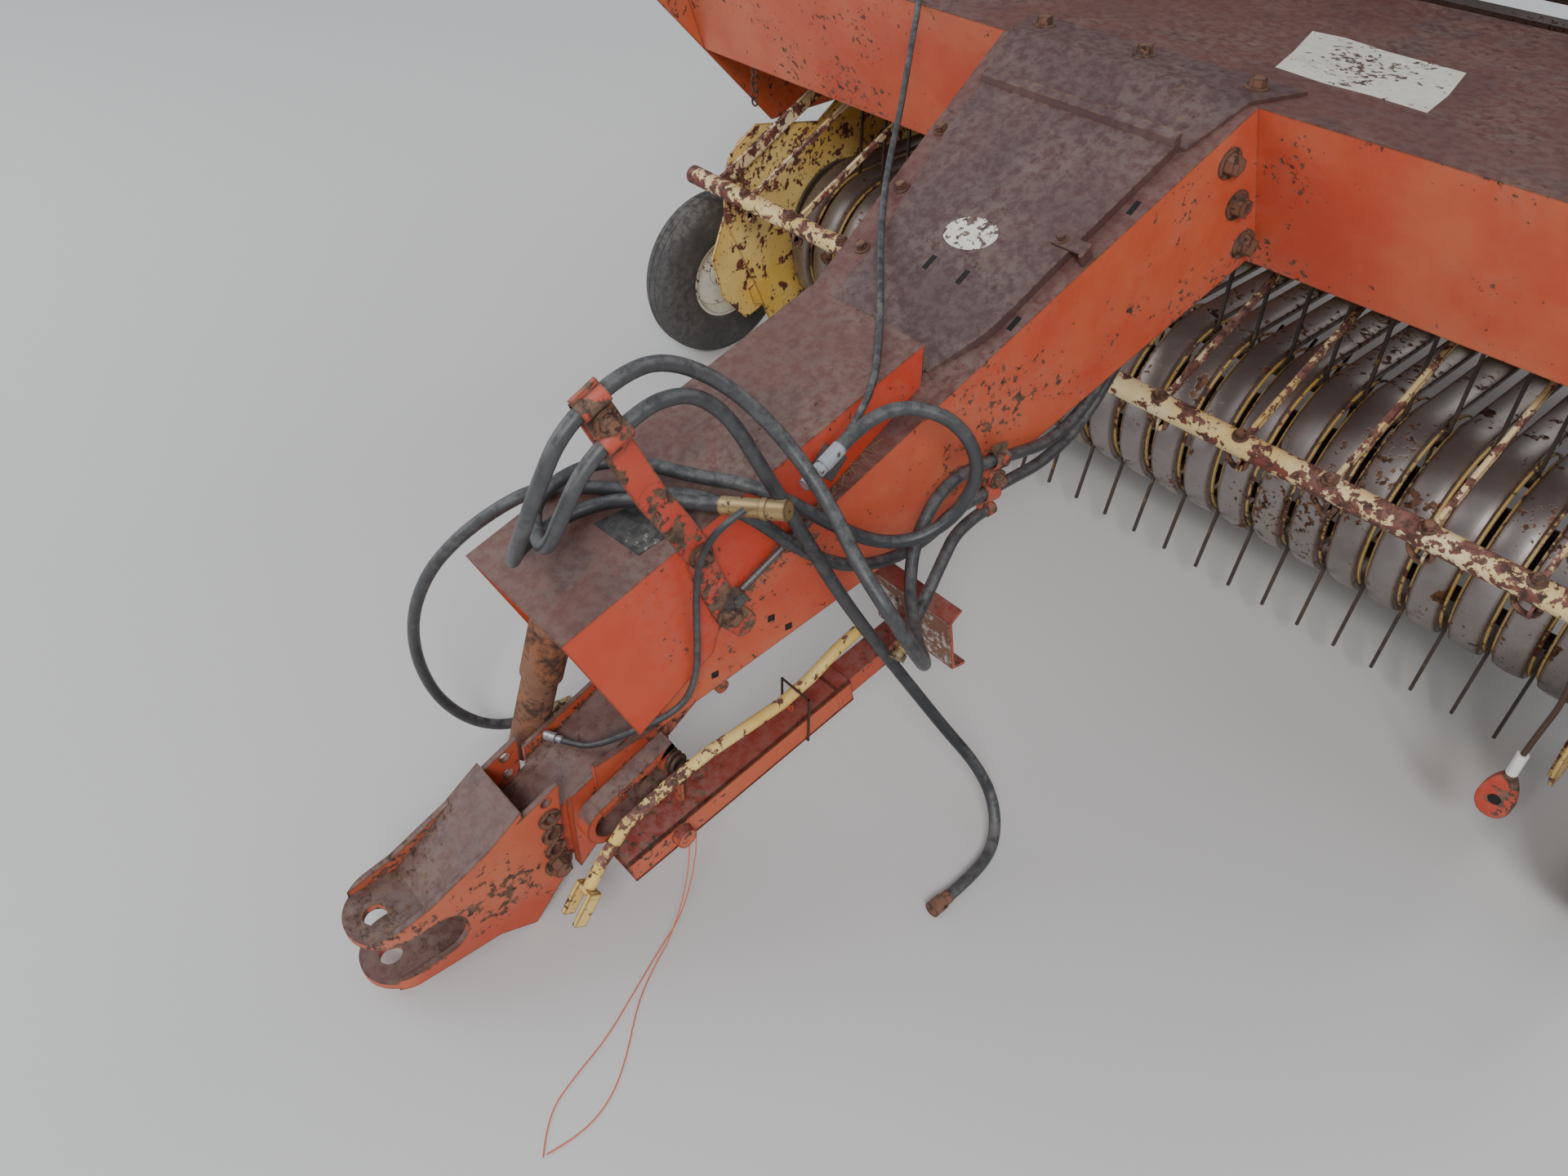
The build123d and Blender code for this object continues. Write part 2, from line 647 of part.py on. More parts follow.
# Windguard: a pipe across the front with flat rods over the bands
guard_rods = 11
rod_pitch = 156
with BuildPart() as windguard:
    rod(guard_at, guard_r, -guard_half, guard_half)
    rod_xs = spread(guard_rods, rod_pitch)
    copies(bar_between(guard_at, guard_knee, 12, 10), rod_xs)
    copies(bar_between(guard_knee, (guard_pivot[0] + 40, guard_pivot[1] + 2), 12, 10), rod_xs)
    arm_in = pickup_half - 22
    for x0 in (-arm_in - 10, arm_in):
        strut(guard_at, guard_knee, 30, x0, x0 + 10)
        strut(guard_knee, guard_pivot, 30, x0, x0 + 10)
        rod(guard_pivot, 24, x0, x0 + 10)
    rod(guard_pivot, guard_pin_r, -arm_in - 40, arm_in + 40)
keep(windguard, "windguard")

# Gauge wheel arms and wheels
with BuildPart() as gauge_arms:
    for side in SIDES.values():
        ends = sorted((side * (pickup_half + shield_sheet + seat_gap), side * (pickup_half + shield_sheet + 12)))
        slab([(1560, 190), (1545, 235), (1590, 260), (1720, 330), (1760, 300), (1740, 240), (1600, 170)], *ends)
        ends = sorted((side * (pickup_half + shield_sheet + seat_gap), side * (gauge_mid_x + 40)))
        rod(gauge_at, 15, *ends)
keep(gauge_arms, "gauge_arms")
w = gauge_width / 2
for name, side in SIDES.items():
    with BuildPart() as gauge_tyre:
        turned([
            (-w + 8, gauge_rim_r), (-w, gauge_rim_r + 25), (-w, gauge_r - 35), (-w + 14, gauge_r - 10),
            (-w + 32, gauge_r), (w - 32, gauge_r), (w - 14, gauge_r - 10), (w, gauge_r - 35),
            (w, gauge_rim_r + 25), (w - 8, gauge_rim_r),
        ], side * gauge_mid_x, gauge_at)
    keep(gauge_tyre, f"gauge_tyre_{name}")
    with BuildPart() as gauge_rim:
        turned([
            (-40, gauge_rim_r - seat_gap), (40, gauge_rim_r - seat_gap), (40, gauge_rim_r - 8), (6, gauge_rim_r - 20),
            (6, 34), (36, 34), (36, 15 + seat_gap), (-36, 15 + seat_gap), (-36, 34), (-6, 34), (-6, gauge_rim_r - 20),
            (-40, gauge_rim_r - 8),
        ], side * gauge_mid_x, gauge_at)
    keep(gauge_rim, f"gauge_rim_{name}")

# Gate cylinders: barrel on the frame, rod to the gate
ram_run = math.dist(ram_base, ram_eye)
ram_dir = ((ram_eye[0] - ram_base[0]) / ram_run, (ram_eye[1] - ram_base[1]) / ram_run)


def along_ram(distance):
    """The side-view point at a distance up the cylinder from its base pin."""
    return ram_base[0] + ram_dir[0] * distance, ram_base[1] + ram_dir[1] * distance


def ram_tube(start, end, radius, x, mode=Mode.ADD):
    """A round bar along the cylinder's line."""
    y, z = along_ram(start)
    line = Plane(origin=(x, pin_y + y, z), x_dir=(1, 0, 0), z_dir=(0, ram_dir[0], ram_dir[1]))
    with BuildSketch(line) as face:
        Circle(radius)
    extrude(face.sketch, amount=end - start, mode=mode)


barrel_end = 760
rod_start = 200  # inner end of the rod, from the base pin
for name, side in SIDES.items():
    x = side * ram_x
    with BuildPart() as ram_barrel:
        ram_tube(38, barrel_end, ram_barrel_r, x)
        rod(ram_base, 34, x - 14, x + 14)
        ram_tube(20, 60, 20, x)
        ram_tube(rod_start - 5, barrel_end + 1, ram_rod_r + seat_gap, x, Mode.SUBTRACT)
        rod(ram_base, 14 + seat_gap, x - 15, x + 15, Mode.SUBTRACT)
    keep(ram_barrel, f"ram_barrel_{name}")
    with BuildPart() as ram_rod:
        ram_tube(rod_start, ram_run - 25, ram_rod_r, x)
        rod(ram_eye, 32, x - 14, x + 14)
        ends = sorted((side * (wall_out + eye_boss + seat_gap), x + side * 24))
        rod(ram_eye, 14, *ends)
    keep(ram_rod, f"ram_rod_{name}")

# Base pins of the cylinders, on the frame
with BuildPart() as ram_pins:
    for side in SIDES.values():
        ends = sorted((side * (frame_x + post + seat_gap), side * (ram_x + 22)))
        rod(ram_base, 14, *ends)
        ends = sorted((side * (frame_x + post + seat_gap), side * (ram_x - 20)))
        rod(ram_base, 30, *ends)
keep(ram_pins, "ram_pins")

# Side doors over the drives
door_sheet = 4
for name, side in SIDES.items():
    with BuildPart() as side_door:
        ends = sorted((side * (door_x - door_sheet), side * door_x))
        block(door_front + 10, door_rear, door_z[0], door_z[1], *ends)
        ends = sorted((side * (door_x - 60), side * (door_x - door_sheet)))
        block(door_rear - door_sheet, door_rear, door_z[0], door_z[1], *ends)
        knuckle = Plane(origin=(side * (door_x - 10), pin_y + door_front, door_z[0] + 100))
        for z0 in (0, 670):
            with BuildSketch(knuckle.offset(z0)) as pin_ring:
                Circle(9)
            extrude(pin_ring.sketch, amount=100)
            ends = sorted((side * (door_x - 12), side * (door_x - 0)))
            block(door_front, door_front + 14, door_z[0] + 100 + z0, door_z[0] + 200 + z0, *ends)
    keep(side_door, f"side_door_{name}")

# Door carriers from the front posts
with BuildPart() as door_carriers:
    for side in SIDES.values():
        for z0 in (door_z[0] + 60, door_z[0] + 730):
            ends = sorted((side * (frame_x + post + seat_gap), side * (door_x - 3)))
            block(door_front - 12, door_front + 8, z0, z0 + 39.5, *ends)
keep(door_carriers, "door_carriers")

# Parking stand, stored along the tongue
with BuildPart() as stand_bracket:
    slab([(345, 150), (345, 290), (480, 296), (480, 215), (450, 160)], ledge_half + seat_gap, ledge_half + 10)
    rod(stand_pivot, 26, ledge_half + seat_gap, stand_x[0] - 2)
    rod(stand_pivot, 12, ledge_half + seat_gap, stand_x[1] + 14)
keep(stand_bracket, "stand_bracket")
with BuildPart() as parking_stand:
    block(stand_front, stand_rear, stand_z[0], stand_z[1], *stand_x)
    block(stand_front - 1, stand_rear - 30, stand_z[0] + 6, stand_z[1] - 6, stand_x[0] + 6, stand_x[1] - 6, Mode.SUBTRACT)
    rod(stand_pivot, 12 + seat_gap, stand_x[0] - 1, stand_x[1] + 1, Mode.SUBTRACT)
    block(stand_rear - 40, foot_y, stand_z[0] + 8, stand_z[1] - 8, stand_x[0] + 8, stand_x[1] - 8)
    slab([
        (foot_y, 140), (foot_y, 380), (foot_y + 45, 405), (foot_y + 48, 400), (foot_y + 6, 376),
        (foot_y + 6, 144), (foot_y + 46, 112), (foot_y + 42, 107),
    ], 95, 250)
keep(parking_stand, "parking_stand")

# Gearbox and cross drive under the deck
with BuildPart() as gearbox:
    block(1630, 1729, 850, 980, -90, 90)
    rod((1690, 915), 35, 90, 300)
    rod((1690, 915), 22, 300, half_width - sheet - seat_gap)
keep(gearbox, "gearbox")
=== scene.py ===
"""Looks of the round baler: worn paint, hoses, hardware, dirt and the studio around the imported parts.

The row frame is in metres, with the drawbar towards -Y and the machine's left side towards +X. Sizes of
pieces are in millimetres. A side-view point is a distance behind the drawbar pin and a height.
"""
import json
import logging
import math
import random
from dataclasses import dataclass, field
from enum import Enum

import bmesh
import bpy
from mathutils import Matrix, Vector


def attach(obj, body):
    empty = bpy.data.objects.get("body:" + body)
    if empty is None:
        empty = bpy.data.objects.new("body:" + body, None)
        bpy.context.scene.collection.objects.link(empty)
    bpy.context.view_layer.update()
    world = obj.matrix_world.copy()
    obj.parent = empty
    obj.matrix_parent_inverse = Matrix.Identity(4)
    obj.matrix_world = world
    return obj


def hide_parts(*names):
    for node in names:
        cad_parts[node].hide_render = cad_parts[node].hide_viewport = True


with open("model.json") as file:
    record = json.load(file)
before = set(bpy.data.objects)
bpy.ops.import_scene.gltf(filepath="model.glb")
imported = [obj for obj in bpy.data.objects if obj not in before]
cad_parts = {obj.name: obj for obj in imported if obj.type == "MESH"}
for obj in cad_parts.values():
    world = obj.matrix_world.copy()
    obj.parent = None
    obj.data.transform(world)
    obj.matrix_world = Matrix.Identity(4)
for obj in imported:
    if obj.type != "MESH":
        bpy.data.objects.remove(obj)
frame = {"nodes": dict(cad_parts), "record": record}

log = logging.getLogger("scene")

Pair = tuple[float, float]
Point = tuple[float, float, float]
Socket = bpy.types.NodeSocket
Value = Socket | float | tuple[float, ...]

PIN_Y = -2.105  # the drawbar pin, in the row frame, in metres
DECK_TOP = 1030  # height of the platform's deck
DECK_FRONT = 1500  # where the tongue's top meets the deck
TONGUE_RISE = 0.5645  # how far the tongue's top rises for each millimetre rearwards
TONGUE_UP: Point = (0.0, -0.4916, 0.8708)  # square to the tongue's top
TONGUE_NOSE, NOSE_HALF = 456, 101  # where the tongue's sides begin, and half its width there
TONGUE_RUN, TONGUE_FLARE = 1144, 158  # the sides' length, and how far each spreads over it
STAND_START: Pair = (318, 178)  # the stored stand's front end, in side view
STAND_WAY: Pair = (0.9811, 0.1931)  # its direction, rearwards and upwards
HAIR = 0.3  # kept between faces that would otherwise share a plane
LEFT: Point = (1, 0, 0)
REARWARDS: Point = (0, 1, 0)
UP: Point = (0, 0, 1)
SIDES = {"left": 1, "right": -1}  # the sign of x on each side


def from_pin(x: float, y: float, z: float) -> Vector:
    """A point in the row frame.

    Args:
        x: millimetres to the machine's left.
        y: millimetres behind the drawbar pin.
        z: millimetres above the ground.

    Returns:
        The point in metres.
    """
    return Vector((x / 1000, PIN_Y + y / 1000, z / 1000))


def tongue_top(y: float) -> float:
    """Height of the tongue's top at a distance behind the pin."""
    return DECK_TOP - (DECK_FRONT - y) * TONGUE_RISE


def tongue_half(y: float) -> float:
    """Half the tongue's width at a distance behind the pin."""
    return NOSE_HALF + TONGUE_FLARE * (y - TONGUE_NOSE) / TONGUE_RUN


def on_tongue(x: float, y: float, lift: float = 0.0) -> Vector:
    """A point on the tongue's top, or a lift above it, in metres."""
    return from_pin(x, y, tongue_top(y) + lift)


def on_stand(along: float, lift: float = 0.0, start: Pair = STAND_START) -> Pair:
    """A side-view point on the stored stand's line.

    Args:
        along: the distance from the start.
        lift: how far square to the line.
        start: where the line starts.

    Returns:
        The side-view point.
    """
    rear, up = STAND_WAY
    return start[0] + rear * along - up * lift, start[1] + up * along + rear * lift


def places_across(count: int, pitch: float) -> list[float]:
    """Places across the machine at a pitch, about its middle."""
    return [(i - (count - 1) / 2) * pitch for i in range(count)]


def facing(axis: Point) -> Matrix:
    """A matrix that turns Z to an axis."""
    return Vector(axis).normalized().to_track_quat("Z", "Y").to_matrix().to_4x4()


def aim(at: Vector, axis: Point) -> Matrix:
    """A matrix that puts the origin at a point and turns Z to an axis."""
    return Matrix.Translation(at) @ facing(axis)


class Graph:
    """A node tree that is wired from values and sockets."""

    def __init__(self, tree: bpy.types.NodeTree) -> None:
        """Start from an empty tree."""
        self.tree = tree
        tree.nodes.clear()

    def add(self, kind: str, inputs: dict[str | int, Value] | None = None,
            **settings: object) -> bpy.types.Node:
        """Add a node.

        Args:
            kind: the node's type, without its ShaderNode prefix.
            inputs: values or sockets by input name or number.
            **settings: attributes of the node.

        Returns:
            The node.
        """
        prefix = "" if kind.startswith("NodeGroup") else "ShaderNode"
        node = self.tree.nodes.new(prefix + kind)
        for name, value in settings.items():
            setattr(node, name, value)
        for key, value in (inputs or {}).items():
            self.feed(node.inputs[key], value)
        return node

    def feed(self, socket: Socket, value: Value) -> None:
        """Give a socket a constant, or link it from another socket.

        Args:
            socket: the input.
            value: the constant or the other socket.
        """
        if isinstance(value, Socket):
            self.tree.links.new(value, socket)
        else:
            socket.default_value = value

    def maths(self, operation: str, *values: Value, clamp: bool = False) -> Socket:
        """Add a Math node.

        Args:
            operation: what it does.
            *values: its inputs in order.
            clamp: whether the result stays between 0 and 1.

        Returns:
            The result.
        """
        node = self.add("Math", dict(enumerate(values)), operation=operation, use_clamp=clamp)
        return node.outputs[0]

    def mix(self, factor: Value, a: Value, b: Value) -> Socket:
        """Mix two colours.

        Args:
            factor: the second colour's share.
            a: the first colour.
            b: the second colour.

        Returns:
            The mixed colour.
        """
        return self.add("Mix", {0: factor, 6: a, 7: b}, data_type="RGBA").outputs[2]

    def step(self, value: Value, low: Value, high: Value) -> Socket:
        """A smooth step.

        Args:
            value: what is stepped.
            low: where the result starts to leave 0.
            high: where it reaches 1.

        Returns:
            The result.
        """
        inputs = {"Value": value, "From Min": low, "From Max": high}
        return self.add("MapRange", inputs, interpolation_type="SMOOTHSTEP").outputs[0]


class Effect:
    """A shared shader node group, made once."""

    name = ""
    takes: tuple[tuple[str, str, float | tuple[float, ...]], ...] = ()
    gives: tuple[tuple[str, str], ...] = ()

    def tree(self) -> bpy.types.NodeTree:
        """Make the group, or find it.

        Returns:
            The group's tree.
        """
        if self.name in bpy.data.node_groups:
            return bpy.data.node_groups[self.name]
        tree = bpy.data.node_groups.new(self.name, "ShaderNodeTree")
        graph = Graph(tree)
        for label, kind, value in self.takes:
            socket = tree.interface.new_socket(label, in_out="INPUT", socket_type=kind)
            socket.default_value = value
        for label, kind in self.gives:
            tree.interface.new_socket(label, in_out="OUTPUT", socket_type=kind)
        given = {socket.name: socket for socket in graph.add("NodeGroupInput").outputs}
        sink = graph.add("NodeGroupOutput")
        for label, value in self.wire(graph, given).items():
            graph.feed(sink.inputs[label], value)
        return tree

    def wire(self, graph: Graph, given: dict[str, Socket]) -> dict[str, Socket]:
        """Wire the group.

        Args:
            graph: the group's graph.
            given: the group input's sockets by name.

        Returns:
            The output sockets by name.
        """
        raise NotImplementedError

    def use(self, graph: Graph, **inputs: Value) -> dict[str, Socket]:
        """Put the group in another graph.

        Args:
            graph: the material's or group's graph.
            **inputs: values by input name, with underscores for spaces.

        Returns:
            The outputs by name.
        """
        node = graph.add("Group", node_tree=self.tree())
        for label, value in inputs.items():
            graph.feed(node.inputs[label.replace("_", " ")], value)
        return {socket.name: socket for socket in node.outputs}

    def mask(self, graph: Graph, **inputs: Value) -> Socket:
        """The mask that the group gives in another graph."""
        return self.use(graph, **inputs)["Mask"]


FLOAT, COLOUR, VECTOR = "NodeSocketFloat", "NodeSocketColor", "NodeSocketVector"


class Blotches(Effect):
    """Ragged patches of noise."""

    name = "Blotches"
    takes = (("Scale", FLOAT, 8.0), ("Amount", FLOAT, 0.3), ("Softness", FLOAT, 0.04), ("Seed", FLOAT, 0.0))
    gives = (("Mask", FLOAT),)

    def wire(self, graph: Graph, given: dict[str, Socket]) -> dict[str, Socket]:
        """Noise on object coordinates, cut at a share.

        Args:
            graph: the group's graph.
            given: the group input's sockets by name.

        Returns:
            The mask.
        """
        place = graph.add("TexCoord").outputs["Object"]
        noise = graph.add("TexNoise", {
            "Vector": place, "W": given["Seed"], "Scale": given["Scale"], "Detail": 6.0, "Roughness": 0.62,
            "Distortion": 0.15,
        }, noise_dimensions="4D").outputs["Fac"]
        level = graph.maths("SUBTRACT", 0.74, graph.maths("MULTIPLY", given["Amount"], 0.44))
        low, high = (graph.maths(way, level, given["Softness"]) for way in ("SUBTRACT", "ADD"))
        return {"Mask": graph.step(noise, low, high)}


class FacingUp(Effect):
    """How far a face looks up, with a ragged border."""

    name = "Facing Up"
    takes = (("From", FLOAT, 0.35), ("To", FLOAT, 0.7))
    gives = (("Mask", FLOAT),)

    def wire(self, graph: Graph, given: dict[str, Socket]) -> dict[str, Socket]:
        """The object-space normal's height, roughened by noise.

        Args:
            graph: the group's graph.
            given: the group input's sockets by name.

        Returns:
            The mask.
        """
        coords = graph.add("TexCoord").outputs
        height = graph.add("SeparateXYZ", {0: coords["Normal"]}).outputs["Z"]
        noise = graph.add("TexNoise", {
            "Vector": coords["Object"], "Scale": 14.0, "Detail": 5.0,
        }).outputs["Fac"]
        ragged = graph.maths("ADD", height, graph.maths("MULTIPLY_ADD", noise, 0.3, -0.15))
        return {"Mask": graph.step(ragged, given["From"], given["To"])}


class WornPaint(Effect):
    """Paint that has faded, is darker on faces that look up, chipped to rust and gathered dust."""

    name = "Worn Paint"
    takes = (
        ("Paint", COLOUR, (0.6, 0.1, 0.04, 1)), ("Faded", COLOUR, (0.7, 0.2, 0.08, 1)),
        ("Top", COLOUR, (0.16, 0.08, 0.08, 1)), ("Top Amount", FLOAT, 0.0),
        ("Rust", COLOUR, (0.13, 0.05, 0.025, 1)), ("Patch Amount", FLOAT, 0.1), ("Patch Scale", FLOAT, 9.0),
        ("Speck Amount", FLOAT, 0.4), ("Dust", COLOUR, (0.33, 0.28, 0.23, 1)), ("Dust Amount", FLOAT, 0.3),
        ("Edge Wear", FLOAT, 0.5), ("Edge Width", FLOAT, 0.006), ("Gloss", FLOAT, 0.45),
    )
    gives = (("Color", COLOUR), ("Roughness", FLOAT), ("Normal", VECTOR))
    deep_rust = (0.05, 0.028, 0.02, 1)

    def painted(self, graph: Graph, given: dict[str, Socket], up: Socket) -> Socket:
        """The faded paint, and a darker, blotched colour on faces that look up.

        Args:
            graph: the group's graph.
            given: the group input's sockets by name.
            up: the mask of faces that look up.

        Returns:
            The colour.
        """
        fade = Blotches().mask(graph, Scale=3.5, Amount=0.55, Softness=0.16, Seed=1.0)
        side = graph.mix(fade, given["Paint"], given["Faded"])
        top_blotches = Blotches().mask(graph, Scale=7.0, Amount=0.6, Softness=0.14, Seed=3.0)
        top = graph.mix(graph.maths("MULTIPLY", top_blotches, 0.45), given["Top"], given["Faded"])
        top = graph.mix(graph.maths("MULTIPLY_ADD", top_blotches, 0.6, 0.3, clamp=True), top, given["Top"])
        return graph.mix(graph.maths("MULTIPLY", up, given["Top Amount"]), side, top)

    def worn_edge(self, graph: Graph, given: dict[str, Socket], grain: Socket) -> Socket:
        """Where an edge has worn through.

        Args:
            graph: the group's graph.
            given: the group input's sockets by name.
            grain: the fine noise.

        Returns:
            The mask.
        """
        bevel = graph.add("Bevel", {"Radius": given["Edge Width"]}, samples=4).outputs[0]
        plain = graph.add("NewGeometry").outputs["Normal"]
        turn = graph.add("VectorMath", {0: bevel, 1: plain}, operation="DOT_PRODUCT").outputs["Value"]
        sharp = graph.step(graph.maths("SUBTRACT", 1.0, turn), 0.01, 0.14)
        wear = graph.maths("MULTIPLY", sharp, given["Edge Wear"])
        return graph.step(graph.maths("MULTIPLY_ADD", grain, 0.5, wear), 0.52, 0.64)

    def rusted(self, graph: Graph, given: dict[str, Socket], grain: Socket, cluster: Socket) -> Socket:
        """Where rust shows: specks that come in clusters, patches and edges.

        Args:
            graph: the group's graph.
            given: the group input's sockets by name.
            grain: the fine noise.
            cluster: the mask of where specks and dust gather.

        Returns:
            The mask.
        """
        near = graph.maths("MULTIPLY_ADD", cluster, 0.75, 0.25)
        share = graph.maths("MULTIPLY", given["Speck Amount"], near)
        specks = Blotches().mask(graph, Scale=75.0, Amount=share, Softness=0.02, Seed=7.0)
        patches = Blotches().mask(graph, Scale=given["Patch Scale"], Amount=given["Patch Amount"],
                                  Softness=0.014, Seed=9.0)
        return graph.maths("MAXIMUM", graph.maths("MAXIMUM", specks, patches),
                           self.worn_edge(graph, given, grain))

    def wire(self, graph: Graph, given: dict[str, Socket]) -> dict[str, Socket]:
        """Layers from the paint up: fading, a darker top colour, rust, dust.

        Args:
            graph: the group's graph.
            given: the group input's sockets by name.

        Returns:
            The colour, roughness and normal.
        """
        place = graph.add("TexCoord").outputs["Object"]
        grain = graph.add("TexNoise", {
            "Vector": place, "Scale": 60.0, "Detail": 6.0, "Roughness": 0.7,
        }).outputs["Fac"]
        up = FacingUp().mask(graph, From=0.3, To=0.62)
        cluster = Blotches().mask(graph, Scale=5.0, Amount=0.5, Softness=0.1, Seed=5.0)
        rust = self.rusted(graph, given, grain, cluster)
        tone = graph.mix(graph.step(grain, 0.35, 0.65), self.deep_rust, given["Rust"])
        colour = graph.mix(rust, self.painted(graph, given, up), tone)
        # Dust on faces that look up; with the hose rubber's pale dust, this layer is partly a painted sheen.
        lying = graph.maths("MULTIPLY_ADD", up, 0.5, graph.maths("MULTIPLY", cluster, 0.5))
        dirt = graph.maths("MULTIPLY", lying, given["Dust Amount"])
        dusty = graph.maths("MULTIPLY", dirt, graph.step(grain, 0.36, 0.62))
        colour = graph.mix(dusty, colour, given["Dust"])
        dull = graph.maths("MAXIMUM", rust, dirt)
        rough = graph.maths("MULTIPLY_ADD", dull, 0.4, given["Gloss"], clamp=True)
        height = graph.maths("SUBTRACT", graph.maths("MULTIPLY", grain, 0.5), rust)
        bump = graph.add("Bump", {"Strength": 0.4, "Distance": 0.001, "Height": height})
        return {"Color": colour, "Roughness": rough, "Normal": bump.outputs[0]}


class Coat:
    """What a piece is covered with, made a material once."""

    name: str

    def material(self) -> bpy.types.Material:
        """Make the material, or find it.

        Returns:
            The material.
        """
        if self.name in bpy.data.materials:
            return bpy.data.materials[self.name]
        material = bpy.data.materials.new(self.name)
        material.use_nodes = True
        graph = Graph(material.node_tree)
        shader = graph.add("BsdfPrincipled", self.shading(graph))
        graph.add("OutputMaterial", {"Surface": shader.outputs[0]})
        return material

    def shading(self, graph: Graph) -> dict[str, Value]:
        """The shader's inputs by name, in a material's graph."""
        raise NotImplementedError


@dataclass(frozen=True)
class Finish(Coat):
    """A worn painted or bare metal finish."""

    name: str
    paint: Point
    faded: Point
    top: Point = (0.062, 0.034, 0.036)
    top_amount: float = 0.0
    rust: Point = (0.15, 0.055, 0.025)
    patches: float = 0.08
    patch_scale: float = 9.0
    specks: float = 0.45
    dust: Point = (0.30, 0.25, 0.21)
    dust_amount: float = 0.3
    edge_wear: float = 0.45
    edge_width: float = 0.006
    gloss: float = 0.45
    metallic: float = 0.0

    def shading(self, graph: Graph) -> dict[str, Value]:
        """Worn paint with this finish's colours and amounts.

        Args:
            graph: the material's graph.

        Returns:
            The shader's inputs by name.
        """
        worn = WornPaint().use(
            graph, Paint=(*self.paint, 1), Faded=(*self.faded, 1), Top=(*self.top, 1), Rust=(*self.rust, 1),
            Dust=(*self.dust, 1), Top_Amount=self.top_amount, Patch_Amount=self.patches,
            Patch_Scale=self.patch_scale, Speck_Amount=self.specks, Dust_Amount=self.dust_amount,
            Edge_Wear=self.edge_wear, Edge_Width=self.edge_width, Gloss=self.gloss,
        )
        return {"Base Color": worn["Color"], "Roughness": worn["Roughness"], "Normal": worn["Normal"],
                "Metallic": self.metallic}


@dataclass(frozen=True)
class PlainFinish(Coat):
    """One even colour, for small things such as twine and labels."""

    name: str
    colour: Point
    roughness: float = 0.7
    metallic: float = 0.0

    def shading(self, graph: Graph) -> dict[str, Value]:
        """Constants alone; the graph stays as it is."""
        return {"Base Color": (*self.colour, 1), "Roughness": self.roughness, "Metallic": self.metallic}


ORANGE = Finish("Orange paint", (0.50, 0.058, 0.022), (0.56, 0.13, 0.055), top_amount=0.95, patches=0.05,
                specks=0.42)
TUNNEL = Finish("Tunnel paint", (0.56, 0.038, 0.015), (0.58, 0.08, 0.03), top=(0.072, 0.050, 0.045),
                top_amount=0.97, patches=0.03, specks=0.3)
DECK = Finish("Hood paint", (0.070, 0.034, 0.036), (0.105, 0.046, 0.044), patches=0.06, specks=0.35,
              gloss=0.5)
CLEVIS = Finish("Clevis paint", (0.46, 0.060, 0.026), (0.52, 0.12, 0.05), top=(0.060, 0.045, 0.045),
                top_amount=0.95, patches=0.16, specks=0.55, edge_wear=0.6)
STAND = Finish("Stand paint", (0.50, 0.065, 0.024), (0.56, 0.12, 0.045), top=(0.17, 0.022, 0.02),
               top_amount=0.95, patches=0.08)
HOLDER = Finish("Holder paint", (0.48, 0.036, 0.018), (0.52, 0.075, 0.04), rust=(0.17, 0.09, 0.05),
                patches=0.42, patch_scale=11.0, specks=0.5)
GREY_STEEL = Finish("Dark steel", (0.10, 0.095, 0.10), (0.16, 0.15, 0.15), patches=0.3, gloss=0.4,
                    metallic=0.6)
BARE_STEEL = Finish("Crop-polished steel", (0.25, 0.22, 0.20), (0.33, 0.30, 0.28), rust=(0.20, 0.085, 0.04),
                    patches=0.2, patch_scale=14.0, specks=0.4, gloss=0.3, metallic=0.8, dust_amount=0.15)
BAND = Finish("Band steel", (0.21, 0.18, 0.165), (0.34, 0.31, 0.30), rust=(0.22, 0.09, 0.04), patches=0.28,
              patch_scale=16.0, specks=0.45, edge_wear=0.85, edge_width=0.009, gloss=0.27, metallic=0.75,
              dust=(0.25, 0.19, 0.15), dust_amount=0.35)
RUST = Finish("Rust", (0.15, 0.062, 0.035), (0.22, 0.10, 0.055), rust=(0.27, 0.10, 0.045), patches=0.5,
              gloss=0.75)
YELLOW = Finish("Yellow paint", (0.66, 0.40, 0.055), (0.80, 0.60, 0.22), rust=(0.19, 0.035, 0.022),
                patches=0.4, patch_scale=26.0, specks=0.6, edge_wear=0.55)
CREAM = Finish("Pipe paint", (0.62, 0.44, 0.12), (0.82, 0.68, 0.42), rust=(0.20, 0.05, 0.035),
               patches=0.5, patch_scale=30.0, specks=0.7)
TYRE = Finish("Tyre rubber", (0.038, 0.037, 0.037), (0.060, 0.057, 0.055), rust=(0.06, 0.055, 0.05),
              patches=0.05, specks=0.2, dust=(0.2, 0.18, 0.16), dust_amount=0.6, edge_wear=0, gloss=0.7)
RIM = Finish("Rim paint", (0.66, 0.62, 0.50), (0.72, 0.70, 0.62), patches=0.2)
# On the hoses the pale dust on faces that look up is partly real dust and partly a painted sheen on their
# tops.
DUSTY_SHEEN_RUBBER = Finish("Hose rubber with dust and painted sheen", (0.020, 0.021, 0.024), (0.05, 0.05, 0.052), rust=(0.09, 0.085, 0.08),
                patches=0.1, specks=0.3, dust=(0.24, 0.23, 0.22), dust_amount=0.45, edge_wear=0, gloss=0.38)
CHROME = Finish("Chrome", (0.62, 0.62, 0.64), (0.55, 0.55, 0.57), patches=0.05, dust_amount=0.1, gloss=0.12,
                metallic=1.0, edge_wear=0)
BRASS = Finish("Oily brass", (0.36, 0.25, 0.11), (0.50, 0.36, 0.17), rust=(0.05, 0.04, 0.035), patches=0.35,
               patch_scale=40.0, specks=0.5, gloss=0.3, metallic=0.7)
ZINC = Finish("Dull zinc", (0.42, 0.45, 0.48), (0.55, 0.57, 0.60), rust=(0.16, 0.13, 0.11), patches=0.15,
              patch_scale=40.0, gloss=0.3, metallic=0.7)
